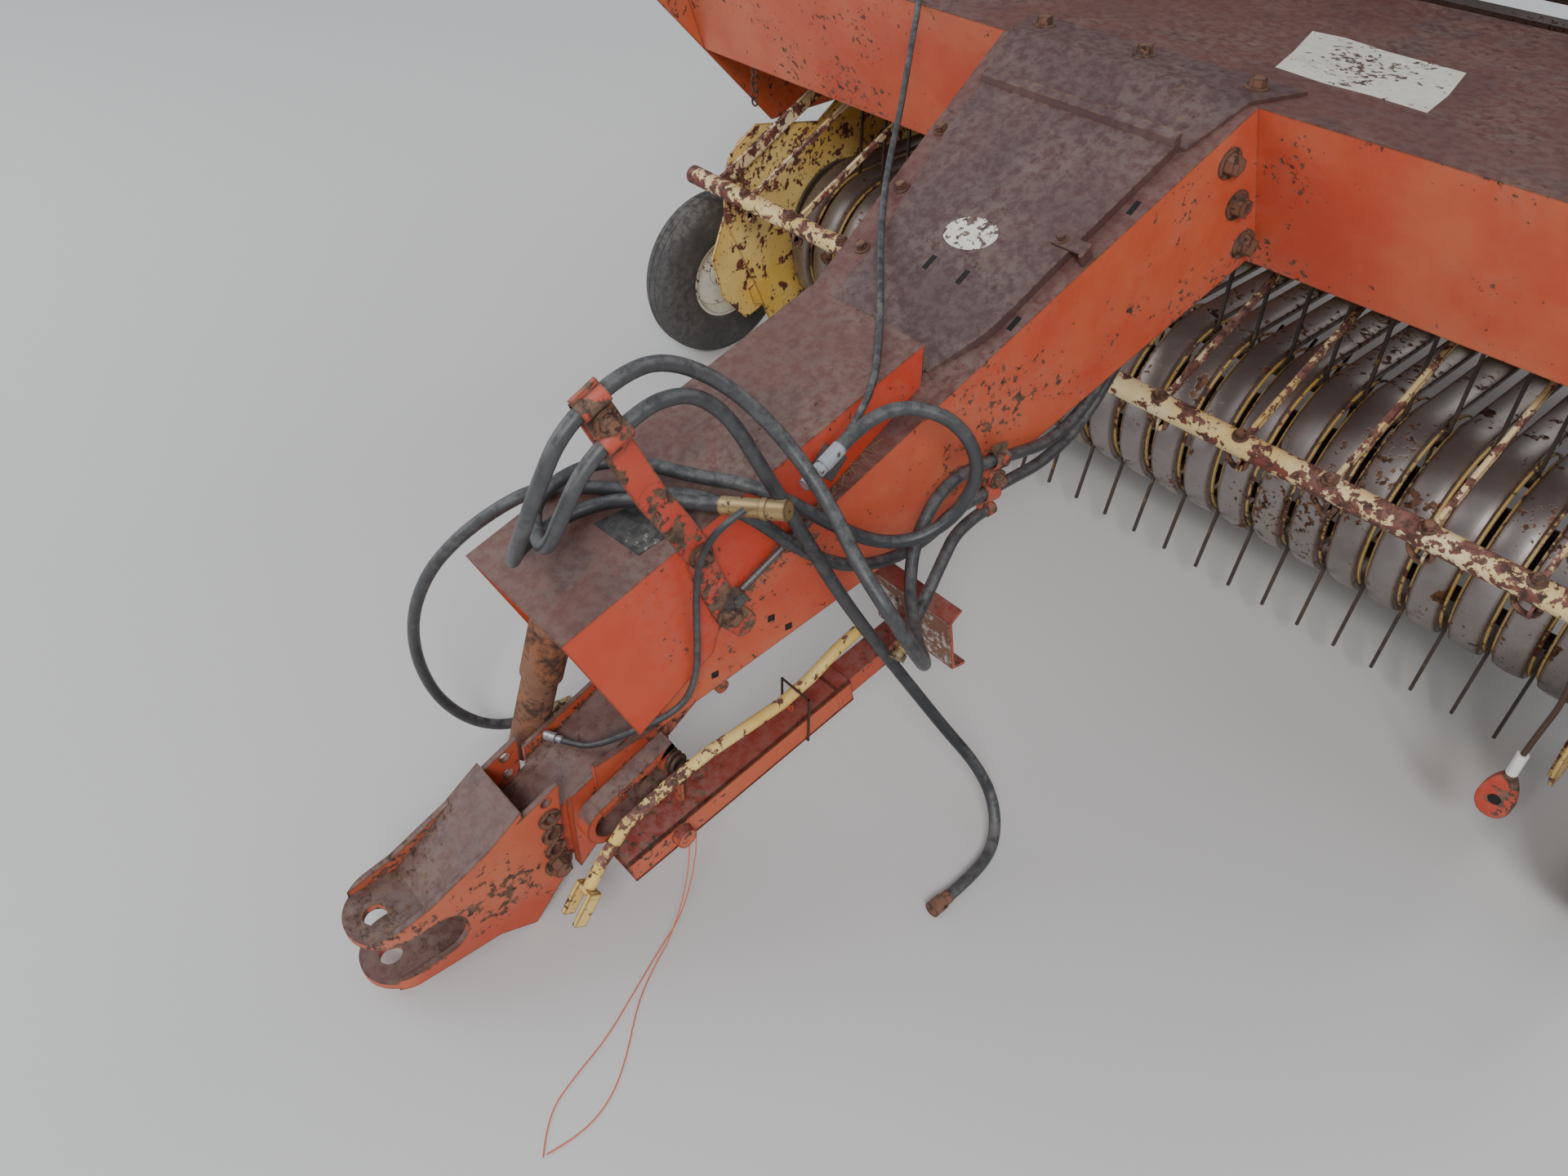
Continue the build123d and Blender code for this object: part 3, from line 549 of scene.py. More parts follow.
BOLT = Finish("Rusty bolt", (0.17, 0.075, 0.045), (0.26, 0.12, 0.07), rust=(0.09, 0.045, 0.03), patches=0.45,
              patch_scale=60.0, gloss=0.65, metallic=0.3)
LABEL = Finish("Blank label", (0.72, 0.68, 0.56), (0.84, 0.82, 0.75), rust=(0.13, 0.06, 0.05), patches=0.2,
               patch_scale=34.0, specks=0.55, edge_wear=0)
DARK_LABEL = Finish("Blank dark plate", (0.018, 0.018, 0.02), (0.03, 0.03, 0.03), rust=(0.35, 0.34, 0.33),
                    patches=0.2, patch_scale=60.0, specks=0.5, edge_wear=0)
LICHEN = Finish("Foot rust", (0.17, 0.07, 0.04), (0.28, 0.15, 0.10), rust=(0.62, 0.58, 0.54), patches=0.32,
                patch_scale=24.0, specks=0.5, gloss=0.8)
TINE = Finish("Tine steel", (0.045, 0.034, 0.030), (0.085, 0.055, 0.042), rust=(0.30, 0.19, 0.05),
              patches=0.28, patch_scale=12.0, specks=0.3, edge_wear=0, gloss=0.45, metallic=0.4)
STRAW = PlainFinish("Chaff", (0.20, 0.135, 0.075), 0.9)
DARK_STRAW = PlainFinish("Old chaff", (0.05, 0.036, 0.026), 0.95)
TWINE = PlainFinish("Orange twine", (0.65, 0.13, 0.06), 0.6)
WIRE = PlainFinish("Iron wire", (0.09, 0.055, 0.04), 0.6, 0.5)
WHITE = PlainFinish("White sleeve", (0.75, 0.73, 0.70), 0.5)
# Painted shade: dark pieces that stand for the shade inside slots, holes and the thimble's eye.
SHADOW = PlainFinish("Painted hole shade", (0.012, 0.010, 0.010), 0.9)
FLOOR = PlainFinish("Floor", (0.62, 0.61, 0.59), 0.85)


class Piece:
    """A mesh in the making, in row-frame metres, with its sizes given in millimetres."""

    crease = 0.6  # radians between faces, past which an edge is sharp

    def __init__(self) -> None:
        """Start with nothing."""
        self.net = bmesh.new()

    def turned(self, profile: list[Pair], at: Vector, axis: Point, steps: int = 24) -> None:
        """Spin an outline round an axis.

        Args:
            profile: (distance along the axis, radius) from end to end; it closes on the axis or on itself.
            at: the axis' origin.
            axis: its direction.
            steps: steps round it.
        """
        part = bmesh.new()
        corners = [part.verts.new((radius / 1000, 0, reach / 1000)) for reach, radius in profile]
        edges = [part.edges.new(pair) for pair in zip(corners, corners[1:])]
        if profile[0][1] > 0:
            edges.append(part.edges.new((corners[-1], corners[0])))
        bmesh.ops.spin(part, geom=corners + edges, cent=(0, 0, 0), axis=UP, angle=math.tau, steps=steps,
                       use_merge=True)
        bmesh.ops.remove_doubles(part, verts=part.verts, dist=1e-6)
        self.take(part, aim(at, axis))

    def cylinder(self, at: Vector, axis: Point, radius: float, length: float, steps: int = 24) -> None:
        """A round bar from a point along an axis."""
        self.turned([(0, 0), (0, radius), (length, radius), (length, 0)], at, axis, steps)

    def sleeve(self, at: Vector, axis: Point, inner: float, outer: float, length: float, steps: int) -> None:
        """A round tube from a point along an axis."""
        self.turned([(0, inner), (0, outer), (length, outer), (length, inner)], at, axis, steps)

    def ring(self, at: Vector, axis: Point, radius: float, bar: float, steps: int = 20) -> None:
        """A closed ring of round bar, with a radius to the bar's middle."""
        turns = [math.tau * i / 8 for i in range(8)]
        self.turned([(bar * math.sin(t), radius + bar * math.cos(t)) for t in turns], at, axis, steps)

    def coil(self, at: Vector, axis: Point, radius: float, bar: float, pitch: float, turns: int) -> None:
        """A coil spring of round bar.

        Args:
            at: where its axis starts.
            axis: the axis' direction.
            radius: the coil's radius to the bar's middle.
            bar: the bar's radius.
            pitch: how far one turn climbs.
            turns: how many turns it has.
        """
        steps = 16
        part = bmesh.new()
        made = bmesh.ops.create_circle(part, cap_ends=True, segments=8, radius=bar / 1000)
        stand = Matrix.Translation((radius / 1000, 0, 0)) @ Matrix.Rotation(math.pi / 2, 4, "X")
        bmesh.ops.transform(part, matrix=stand, verts=made["verts"])
        bmesh.ops.spin(part, geom=part.verts[:] + part.edges[:] + part.faces[:], cent=(0, 0, 0), axis=UP,
                       dvec=(0, 0, pitch / 1000 / steps), angle=math.tau * turns, steps=steps * turns)
        self.take(part, aim(at, axis))

    def bolt(self, at: Vector, axis: Point, across: float) -> None:
        """A hexagon head on a washer.

        Args:
            at: the middle of the face that the washer lies on.
            axis: the way that the head looks.
            across: the head's size across its flats.
        """
        washer = 2.5
        self.cylinder(at, axis, across * 0.82, washer, 18)
        head = bmesh.new()
        bmesh.ops.create_cone(head, cap_ends=True, segments=6, radius1=across * 0.577 / 1000,
                              radius2=across * 0.53 / 1000, depth=across * 0.55 / 1000)
        self.take(head, aim(at, axis) @ Matrix.Translation((0, 0, (washer + across * 0.27) / 1000)))

    def block(self, at: Vector, size: Point, turn: Matrix | None = None) -> None:
        """A box.

        Args:
            at: its middle.
            size: its lengths.
            turn: how it is turned about its middle.
        """
        part = bmesh.new()
        bmesh.ops.create_cube(part, size=1.0)
        bmesh.ops.scale(part, vec=[side / 1000 for side in size], verts=part.verts)
        self.take(part, Matrix.Translation(at) @ (turn or Matrix.Identity(4)))

    def outline(self, corners: list[Vector], lift: Vector) -> None:
        """A flat plate.

        Args:
            corners: its outline in metres.
            lift: its thickness as a vector in metres.
        """
        part = bmesh.new()
        face = part.faces.new([part.verts.new(corner) for corner in corners])
        made = bmesh.ops.extrude_face_region(part, geom=[face])
        moved = [item for item in made["geom"] if isinstance(item, bmesh.types.BMVert)]
        bmesh.ops.translate(part, vec=lift, verts=moved)
        self.take(part, Matrix.Identity(4))

    def slab(self, points: list[Pair], x0: float, x1: float) -> None:
        """A plate with an outline of side-view points, from one x to another."""
        self.outline([from_pin(x0, y, z) for y, z in points], Vector(((x1 - x0) / 1000, 0, 0)))

    def strut(self, a: Pair, b: Pair, depth: float, x0: float, x1: float, lift: float = 0.0) -> None:
        """A straight flat bar in side view.

        Args:
            a: the side-view point at one end's middle.
            b: the one at the other end's middle.
            depth: the bar's depth in side view.
            x0: where it starts across the machine.
            x1: where it ends.
            lift: how far it is moved square to itself.
        """
        run = math.dist(a, b)
        ny, nz = -(b[1] - a[1]) / run, (b[0] - a[0]) / run
        low, high = lift - depth / 2, lift + depth / 2
        ends = ((a, high), (a, low), (b, low), (b, high))
        self.slab([(end[0] + ny * off, end[1] + nz * off) for end, off in ends], x0, x1)

    def rod(self, at: Pair, radius: float, x0: float, x1: float, steps: int = 24) -> None:
        """A round bar across the machine at a side-view point, from one x to another."""
        self.cylinder(from_pin(x0, *at), LEFT, radius, x1 - x0, steps)

    def strip(self, rows: list[tuple[float, float, float, float, float]]) -> None:
        """A solid lofted along the machine.

        Args:
            rows: (distance behind the pin, right x, left x, low z, high z) from front to rear.
        """
        part = bmesh.new()
        rings = []
        for y, right, left, low, high in rows:
            corners = ((right, low), (right, high), (left, high), (left, low))
            rings.append([part.verts.new(from_pin(x, y, z)) for x, z in corners])
        for one, two in zip(rings, rings[1:]):
            for i in range(4):
                part.faces.new((one[i], one[(i + 1) % 4], two[(i + 1) % 4], two[i]))
        part.faces.new(rings[0])
        part.faces.new(rings[-1])
        self.take(part, Matrix.Identity(4))

    def tube(self, points: list[Point], radius: float) -> None:
        """A round bar along straight runs, with a ball at each inner corner.

        Args:
            points: its corners, from the pin.
            radius: the bar's radius.
        """
        spots = [from_pin(*point) for point in points]
        for one, two in zip(spots, spots[1:]):
            run = two - one
            self.cylinder(one, run, radius, run.length * 1000, 16)
        for spot in spots[1:-1]:
            ball = bmesh.new()
            bmesh.ops.create_uvsphere(ball, u_segments=16, v_segments=10, radius=radius / 1000)
            self.take(ball, Matrix.Translation(spot))

    def hose_plates(self, at: Pair, mid_x: float, degrees: float, size: Pair, lobe: float,
                    play: float) -> None:
        """Two formed plates round a pair of hoses.

        Args:
            at: the side-view point between the hoses.
            mid_x: the hoses' place across the machine.
            degrees: the angle of the line through both hoses above rearwards.
            size: the plates' length along that line, and their width.
            lobe: from the middle to a hose's middle.
            play: from a hose's skin to the plate.
        """
        turn = math.radians(degrees)
        along = Vector((0, math.cos(turn), math.sin(turn)))
        way = Vector((0, -math.sin(turn), math.cos(turn)))
        middle = from_pin(mid_x, *at)
        hose, plate = 10, 3
        length, width = size
        inner, outer = hose + play, hose + plate + play
        for side in (1, -1):
            start = middle + along * (side * lobe / 1000) - way * (width / 2000)
            self.sleeve(start, way, inner, outer, width, 28)
            tail = length / 2 - lobe - inner
            spot = middle + along * (side * (lobe + inner + tail / 2) / 1000)
            self.block(spot, (2 * plate, tail, width), Matrix.Rotation(turn, 4, "X"))
        self.block(middle, (2 * plate, 2 * (lobe - inner), width), Matrix.Rotation(turn, 4, "X"))

    def take(self, part: bmesh.types.BMesh, place: Matrix) -> None:
        """Put a part in this mesh, its faces outwards.

        Args:
            part: the part, which is used up.
            place: its place.
        """
        bmesh.ops.transform(part, matrix=place, verts=part.verts)
        bmesh.ops.recalc_face_normals(part, faces=part.faces)
        mesh = bpy.data.meshes.new("part")
        part.to_mesh(mesh)
        part.free()
        self.net.from_mesh(mesh)
        bpy.data.meshes.remove(mesh)

    def done(self, name: str, finish: Coat, body: str = "root",
             replaces: tuple[str, ...] = ()) -> bpy.types.Object:
        """Make the object.

        Args:
            name: its name.
            finish: its finish.
            body: the CAD body that it moves with.
            replaces: the CAD nodes that it stands for.

        Returns:
            The object.
        """
        for face in self.net.faces:
            face.smooth = True
        for edge in self.net.edges:
            edge.smooth = edge.calc_face_angle(0.0) < self.crease
        mesh = bpy.data.meshes.new(name)
        self.net.to_mesh(mesh)
        self.net.free()
        mesh.materials.append(finish.material())
        thing = bpy.data.objects.new(name, mesh)
        bpy.context.scene.collection.objects.link(thing)
        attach(thing, body)
        if replaces:
            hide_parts(*replaces)
        log.info("%s: %d faces", name, len(mesh.polygons))
        return thing


@dataclass
class PaintShop:
    """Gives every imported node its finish."""

    slots: dict[str, Coat] = field(default_factory=lambda: {
        "orange": ORANGE, "deck_dark": DECK, "grey_steel": GREY_STEEL, "bare_steel": BARE_STEEL, "rust": RUST,
        "yellow": YELLOW, "tyre": TYRE, "rim": RIM, "black_rubber": DUSTY_SHEEN_RUBBER, "chrome": CHROME,
    })
    special: dict[str, Coat] = field(default_factory=lambda: {
        "driveline_tunnel": TUNNEL, "hitch_clevis": CLEVIS, "hitch_tube": CLEVIS, "stand_bracket": CLEVIS,
        "pickup_reel": TINE,
    })

    def build(self) -> None:
        """Give each node its own finish, or else that of its slot."""
        slot_of = {part["node"]: part["material_slot"] for part in frame["record"]["subparts"]}
        for name, node in frame["nodes"].items():
            finish = self.special.get(name, self.slots[slot_of[name]])
            node.data.materials.clear()
            node.data.materials.append(finish.material())
        log.info("nodes finished: %d", len(frame["nodes"]))


class Stiffness(Enum):
    """How far a cord holds its own shape."""

    LIMP = "limp"
    MEDIUM = "medium"
    STIFF = "stiff"


class Lay(Enum):
    """How a cord lies."""

    LOOSE = "loose"
    HANGING = "hanging"


class FarEnd(Enum):
    """What a cord ends in."""

    BARE = "bare"
    CONNECTOR = "connector"
    FITTING = "fitting"
    OBJECT = "object"
    PLUG = "plug"


@dataclass(frozen=True)
class Cord:
    """A hose, cable, rope or twine along its control points, which are taken from the pin."""

    name: str
    points: tuple[Point, ...]
    diameter: float
    length: float  # metres
    far_end: FarEnd
    lay: Lay = Lay.LOOSE
    stiffness: Stiffness = Stiffness.STIFF
    finish: Coat = DUSTY_SHEEN_RUBBER
    carries: tuple[str, ...] = ()
    body: str = "root"

    def lay_out(self) -> None:
        data = bpy.data.curves.new(self.name, "CURVE")
        data.dimensions = "3D"
        data.resolution_u = 6
        data.bevel_depth = self.diameter / 2000
        data.bevel_resolution = 4
        data.use_fill_caps = True
        line = data.splines.new("NURBS")
        line.points.add(len(self.points) - 1)
        for knot, point in zip(line.points, self.points):
            knot.co = (*from_pin(*point), 1)
        line.order_u = 3
        line.use_endpoint_u = True
        data.materials.append(self.finish.material())
        curve = bpy.data.objects.new(self.name, data)
        bpy.context.scene.collection.objects.link(curve)
        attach(curve, self.body)
        log.info("%s: %.2f m", self.name, self.length)


@dataclass(frozen=True)
class Fitting:
    """A turned fitting on a cord's far end, in steps of (length, radius) from the cord outwards."""

    name: str
    route: tuple[Point, ...]
    steps: tuple[Pair, ...]
    finish: Coat

    def build(self) -> None:
        """Turn it in line with the cord's last stretch."""
        tip, before = from_pin(*self.route[-1]), from_pin(*self.route[-2])
        profile, reach = [(HAIR, 0.0)], HAIR
        for length, radius in self.steps:
            profile += [(reach, radius), (reach + length, radius)]
            reach += length
        piece = Piece()
        piece.turned(profile + [(reach, 0.0)], tip, tip - before, 28)
        piece.done(self.name, self.finish)


@dataclass
class Plumbing:
    """The hydraulic hoses, the two cables, and what holds and ends them.

    Attributes:
        hose: the hoses' diameter.
        upper: the hose from the upper port by the clamp and the holder to its coupler on the tunnel.
        ground: the hose from its zinc fitting over the tunnel and the holder to the ground on the left.
        loop: the hose from the lower port by the clamp, over the tunnel to the ground on the right.
        drop: the short hose from the clamp's socket until it hangs behind the stand.
        control: the cable from its box on the deck to the one at the tongue's side.
        tail: the cable that hangs from beside the tunnel to its plug over the hitch.
        holder_bar: the side-view corners of the holder's bent bar, from its foot up.
    """

    hose: float = 20
    upper: tuple[Point, ...] = (
        (178, 1446, 758), (190, 1372, 692), (206, 1275, 602), (213, 1175, 570), (207, 1085, 582),
        (206, 1000, 602), (209, 915, 600), (226, 846, 546), (266, 800, 494), (334, 748, 480), (398, 696, 516),
        (432, 644, 584), (418, 606, 664), (352, 602, 718), (276, 624, 756), (206, 616, 816), (154, 570, 892),
        (134, 495, 950), (143.8, 422, 963), (143.8, 340, 925), (134, 304, 856), (106, 286, 778),
        (56, 292, 704), (-2, 322, 661), (-38, 370, 646), (-46, 426, 648), (-22, 476, 662), (28, 505, 680),
        (88, 530, 698), (146, 554, 714),
    )
    ground: tuple[Point, ...] = (
        (198, 714, 760), (192, 766, 778), (214, 824, 788), (266, 872, 764), (300, 888, 700), (292, 862, 630),
        (266, 814, 592), (236, 761, 594), (206, 706, 634), (172, 655, 682), (126, 613, 709), (74, 589, 700),
        (20, 568, 694), (-40, 544, 690), (-82, 498, 684), (-88, 440, 677), (-58, 390, 677), (-4, 360, 684),
        (54, 334, 706), (106, 320, 745), (136, 328, 806), (143.8, 364, 869), (143.8, 446, 907),
        (147, 493, 908), (151, 529, 891), (163, 563, 850), (182, 592, 775), (208, 636, 668), (222, 684, 556),
        (232, 738, 450), (246, 790, 352), (284, 828, 270), (322, 862, 195), (364, 896, 125), (405, 906, 62),
        (446, 872, 22), (466, 812, 13), (467, 735, 13),
    )
    loop: tuple[Point, ...] = (
        (182, 1446, 724), (192, 1368, 655), (206, 1270, 570), (213, 1165, 536), (207, 1085, 534),
        (206, 1021, 534), (214, 950, 546), (214, 886, 520), (206, 813, 512), (204, 719, 553), (184, 648, 616),
        (160, 598, 678), (102, 562, 698), (35, 536, 679), (-21, 506, 669), (-81, 470, 659), (-128, 430, 647),
        (-154, 378, 622), (-192, 325, 572), (-244, 285, 490), (-301, 264, 370), (-327, 263, 250),
        (-336, 286, 136), (-328, 338, 48), (-311, 404, 13), (-303, 452, 13),
    )
    drop: tuple[Point, ...] = (
        (207, 1030, 498), (211, 966, 500), (226, 918, 470), (246, 862, 434), (262, 812, 402),
    )
    control: tuple[Point, ...] = (
        (-560, 1600, 1036.3), (-500, 1548, 1036.3), (-440, 1492, 1037), (-392, 1430, 1002), (-340, 1365, 962),
        (-282, 1292, 922), (-226, 1216, 884), (-172, 1152, 856), (-108, 1084, 832), (-44, 1022, 812),
        (16, 964, 802), (70, 908, 788), (118, 856, 774), (138, 812, 742), (136, 768, 698),
    )
    tail: tuple[Point, ...] = (
        (196, 552, 737), (186, 520, 720), (168, 506, 680), (152, 504, 632), (142, 506, 580), (136, 508, 526),
        (131, 510, 470), (130, 506, 420), (128, 488, 376), (116, 458, 352), (96, 428, 334), (70, 400, 310),
        (44, 380, 286), (14, 362, 268), (-18, 350, 263),
    )
    holder_bar: tuple[Pair, ...] = (
        (600, 460), (571, 499), (536, 594), (527, 633), (499, 691), (460, 763), (393, 916),
    )
    holder_depth: float = 42
    holder_side: float = 121.3
    holder_outer: float = 128.8
    holder_hoses_x: float = 143.8
    clamp_at: Pair = (1038.6, 563)
    clamp_hoses_x: float = 206.5
    drop_socket: Point = (207, 1032.2, 498)
    port_at: Point = (190, 1467, 746)
    deck_box_at: Point = (-579, 1610, 1037)

    def cords(self) -> list[Cord]:
        """Choose every hose's and cable's size and ends.

        Returns:
            The cords.
        """
        loose, hanging, medium = Lay.LOOSE, Lay.HANGING, Stiffness.MEDIUM
        return [
            Cord("upper_hose", self.upper, self.hose, 2.414, FarEnd.CONNECTOR,
                 carries=("coupler_upper", "fitting_return")),
            Cord("ground_hose", self.ground, self.hose, 2.691, FarEnd.FITTING, carries=("fitting_ground",)),
            Cord("loop_hose", self.loop, self.hose, 2.160, FarEnd.CONNECTOR, carries=("coupler_loop",)),
            Cord("drop_hose", self.drop, self.hose, 0.251, FarEnd.CONNECTOR, hanging,
                 carries=("coupler_drop", "drop_ring")),
            Cord("deck_cable", self.control, 11, 1.170, FarEnd.OBJECT, loose, medium),
            Cord("hanging_cable", self.tail, 10, 0.630, FarEnd.PLUG, hanging, medium, carries=("tail_plug",)),
        ]

    def fittings(self) -> None:
        """Couplers and fittings at the hoses' ends."""
        for fitting in (
            Fitting("coupler_upper", self.upper, ((62, 13), (10, 15), (28, 14)), BRASS),
            Fitting("fitting_return", self.ground[::-1], ((38, 11), (12, 10), (25, 9)), ZINC),
            Fitting("fitting_ground", self.ground, ((14, 11), (26, 13)), BOLT),
            Fitting("coupler_loop", self.loop, ((16, 11), (44, 13)), BRASS),
            Fitting("coupler_drop", self.drop, ((12, 12), (20, 11), (10, 12.5)), BRASS),
            Fitting("tail_plug", self.tail, ((12, 6), (22, 8)), ZINC),
        ):
            fitting.build()

    def holder(self) -> None:
        """The bent bar on the tongue's side, with formed plates round two hoses at its top."""
        bar, hair = self.holder_bar, HAIR / 2
        piece = Piece()
        for i, (one, two) in enumerate(zip(bar, bar[1:])):
            piece.strut(one, two, self.holder_depth, self.holder_side, self.holder_outer - i % 2 * hair)
        for i, at in enumerate(bar):
            outer = self.holder_outer - 0.25 - i % 2 * hair
            piece.rod(at, self.holder_depth / 2, self.holder_side + 0.1, outer)
        piece.rod(bar[-1], 13, self.holder_side, self.holder_hoses_x + 9)
        piece.hose_plates(bar[-1], self.holder_hoses_x, 114.5, (103, 40), 30.5, 1.5)
        piece.done("hose_holder", HOLDER)

    def clamp(self) -> None:
        """The side clamp round two hoses, with the drop hose's socket."""
        piece = Piece()
        piece.hose_plates(self.clamp_at, self.clamp_hoses_x, 78, (112, 30), 29.2, 3)
        piece.rod(self.clamp_at, 15, 179, self.clamp_hoses_x + 11)
        piece.cylinder(from_pin(*self.drop_socket), REARWARDS, 12, 16, 20)
        piece.block(from_pin(206.5, 1038, 506), (10, 11, 17))
        piece.done("hose_clamp", HOLDER)

    def ports(self) -> None:
        """The plate that the hoses leave from, and the cable's boxes on the deck and the tongue."""
        piece = Piece()
        piece.block(from_pin(*self.port_at), (80, 24, 97))
        piece.block(from_pin(*self.deck_box_at), (26, 44, 15))
        piece.strut((767.7, 697.8), (738, 668.1), 26, 120, 149)
        piece.done("hose_ports", GREY_STEEL)

    def drop_ring(self) -> None:
        """The yellow ring on the drop hose's coupler."""
        tip, before = from_pin(*self.drop[-1]), from_pin(*self.drop[-2])
        way = (tip - before).normalized()
        piece = Piece()
        piece.ring(tip + way * 0.026, way, 12, 2.6)
        piece.done("drop_ring", YELLOW)

    def build(self) -> None:
        """The pieces that hold and end them first, then every cord."""
        self.fittings()
        self.holder()
        self.clamp()
        self.ports()
        self.drop_ring()
        for cord in self.cords():
            cord.lay_out()


@dataclass
class TongueHardware:
    """Bolts, painted shade in slots and holes, blank labels, a latch and a rod on the tongue, its hood,
    flange, tunnel and deck.
    """

    flange_bolts: tuple[Point, ...] = ((-205, 1555, 1036), (0, 1555, 1036), (205, 1555, 1036))
    margin_bolts: tuple[Pair, ...] = ((-197, 1307), (-176, 1198), (-152, 1088), (-112, 926))
    cheek_bolts: tuple[Pair, ...] = ((1465, 955), (1508, 880), (1550, 805))
    cheek_slant: float = -0.138
    margin_slots: tuple[Pair, ...] = ((196, 1301), (172, 1085))
    spare_hole: Pair = (154, 922)
    hood_label_at: Pair = (10, 1160)
    hood_label_radius: float = 46
    hood_label_squash: float = 0.68
    label: float = 0.6
    deck_label_edge: tuple[Pair, ...] = (
        (104, 1888), (160, 1896), (240, 1882), (375, 1877), (404, 1760), (418, 1666), (330, 1672),
        (250, 1668), (163, 1678), (140, 1770),
    )
    tunnel_plate_edge: tuple[Pair, ...] = ((-14, 452), (6, 506), (90, 500), (84, 458))
    tunnel_roof: Pair = (305, 596.4)
    tunnel_slope: Pair = (645, 194)
    latch_y: float = 1200

    def bolts(self) -> None:
        """Hexagon heads on the flange, the tongue's top and both cheeks."""
        piece = Piece()
        for at in self.flange_bolts:
            piece.bolt(from_pin(*at), UP, 24)
        for x, y in self.margin_bolts:
            piece.bolt(on_tongue(x, y), TONGUE_UP, 17)
        for y, z in self.cheek_bolts:
            for side in SIDES.values():
                piece.bolt(from_pin(side * tongue_half(y), y, z), (side, self.cheek_slant, 0), 30)
        piece.done("tongue_bolts", BOLT)

    def slots(self) -> None:
        """Painted shade: thin dark blocks in the slots of the tongue's top margin, and a dark disc in a bolt
        hole beside the hood.
        """
        piece = Piece()
        for x, y in self.margin_slots:
            at = on_tongue(x, y) + Vector(TONGUE_UP) * 0.0004
            piece.block(at, (9, 26, 0.8), facing(TONGUE_UP))
        piece.cylinder(on_tongue(*self.spare_hole), TONGUE_UP, 7, 0.8, 16)
        piece.done("tongue_slot_shade", SHADOW)

    def hood_label(self) -> None:
        """A blank oval label on the hood."""
        at = on_tongue(*self.hood_label_at, Hood.lift) + Vector(TONGUE_UP) * 0.0003
        radius = self.hood_label_radius / 1000
        part = bmesh.new()
        bmesh.ops.create_cone(part, cap_ends=True, segments=40, radius1=radius, radius2=radius,
                              depth=self.label / 1000)
        bmesh.ops.scale(part, vec=(1, self.hood_label_squash, 1), verts=part.verts)
        piece = Piece()
        piece.take(part, aim(at, TONGUE_UP) @ Matrix.Rotation(0.25, 4, "Z"))
        piece.done("hood_label", LABEL)

    def deck_label(self) -> None:
        """A blank torn label on the deck."""
        piece = Piece()
        corners = [from_pin(x, y, DECK_TOP + 0.2) for x, y in self.deck_label_edge]
        piece.outline(corners, Vector((0, 0, self.label / 1000)))
        piece.done("deck_label", LABEL)

    def tunnel_plate(self) -> None:
        """A blank dark plate on the tunnel's sloping roof."""
        (front, low), (run, rise) = self.tunnel_roof, self.tunnel_slope
        corners = [from_pin(x, y, low + (y - front) * rise / run) for x, y in self.tunnel_plate_edge]
        piece = Piece()
        piece.outline(corners, Vector((0, 0, 0.0008)))
        piece.done("tunnel_plate", DARK_LABEL)

    def latch(self) -> None:
        """The small strap that holds the hood's left edge."""
        piece = Piece()
        for x, lift, size in ((168, 22, (58, 22, 4)), (196, 12, (6, 22, 24))):
            piece.block(on_tongue(x, self.latch_y, lift), size, facing(TONGUE_UP))
        piece.bolt(on_tongue(150, self.latch_y, 24), TONGUE_UP, 13)
        piece.done("hood_latch", DECK)

    def gap_rod(self) -> None:
        """The dark rod and its square block that lie along the tunnel's foot."""
        start, end = on_tongue(127, 594, 10), on_tongue(136, 724, 8)
        run = end - start
        piece = Piece()
        piece.cylinder(start, run, 5.5, run.length * 1000, 12)
        piece.block(on_tongue(127, 582, 6), (20, 34, 26), facing(TONGUE_UP))
        piece.done("gap_rod", GREY_STEEL)

    def build(self) -> None:
        """Everything on the tongue."""
        self.bolts()
        self.slots()
        self.hood_label()
        self.deck_label()
        self.tunnel_plate()
        self.latch()
        self.gap_rod()


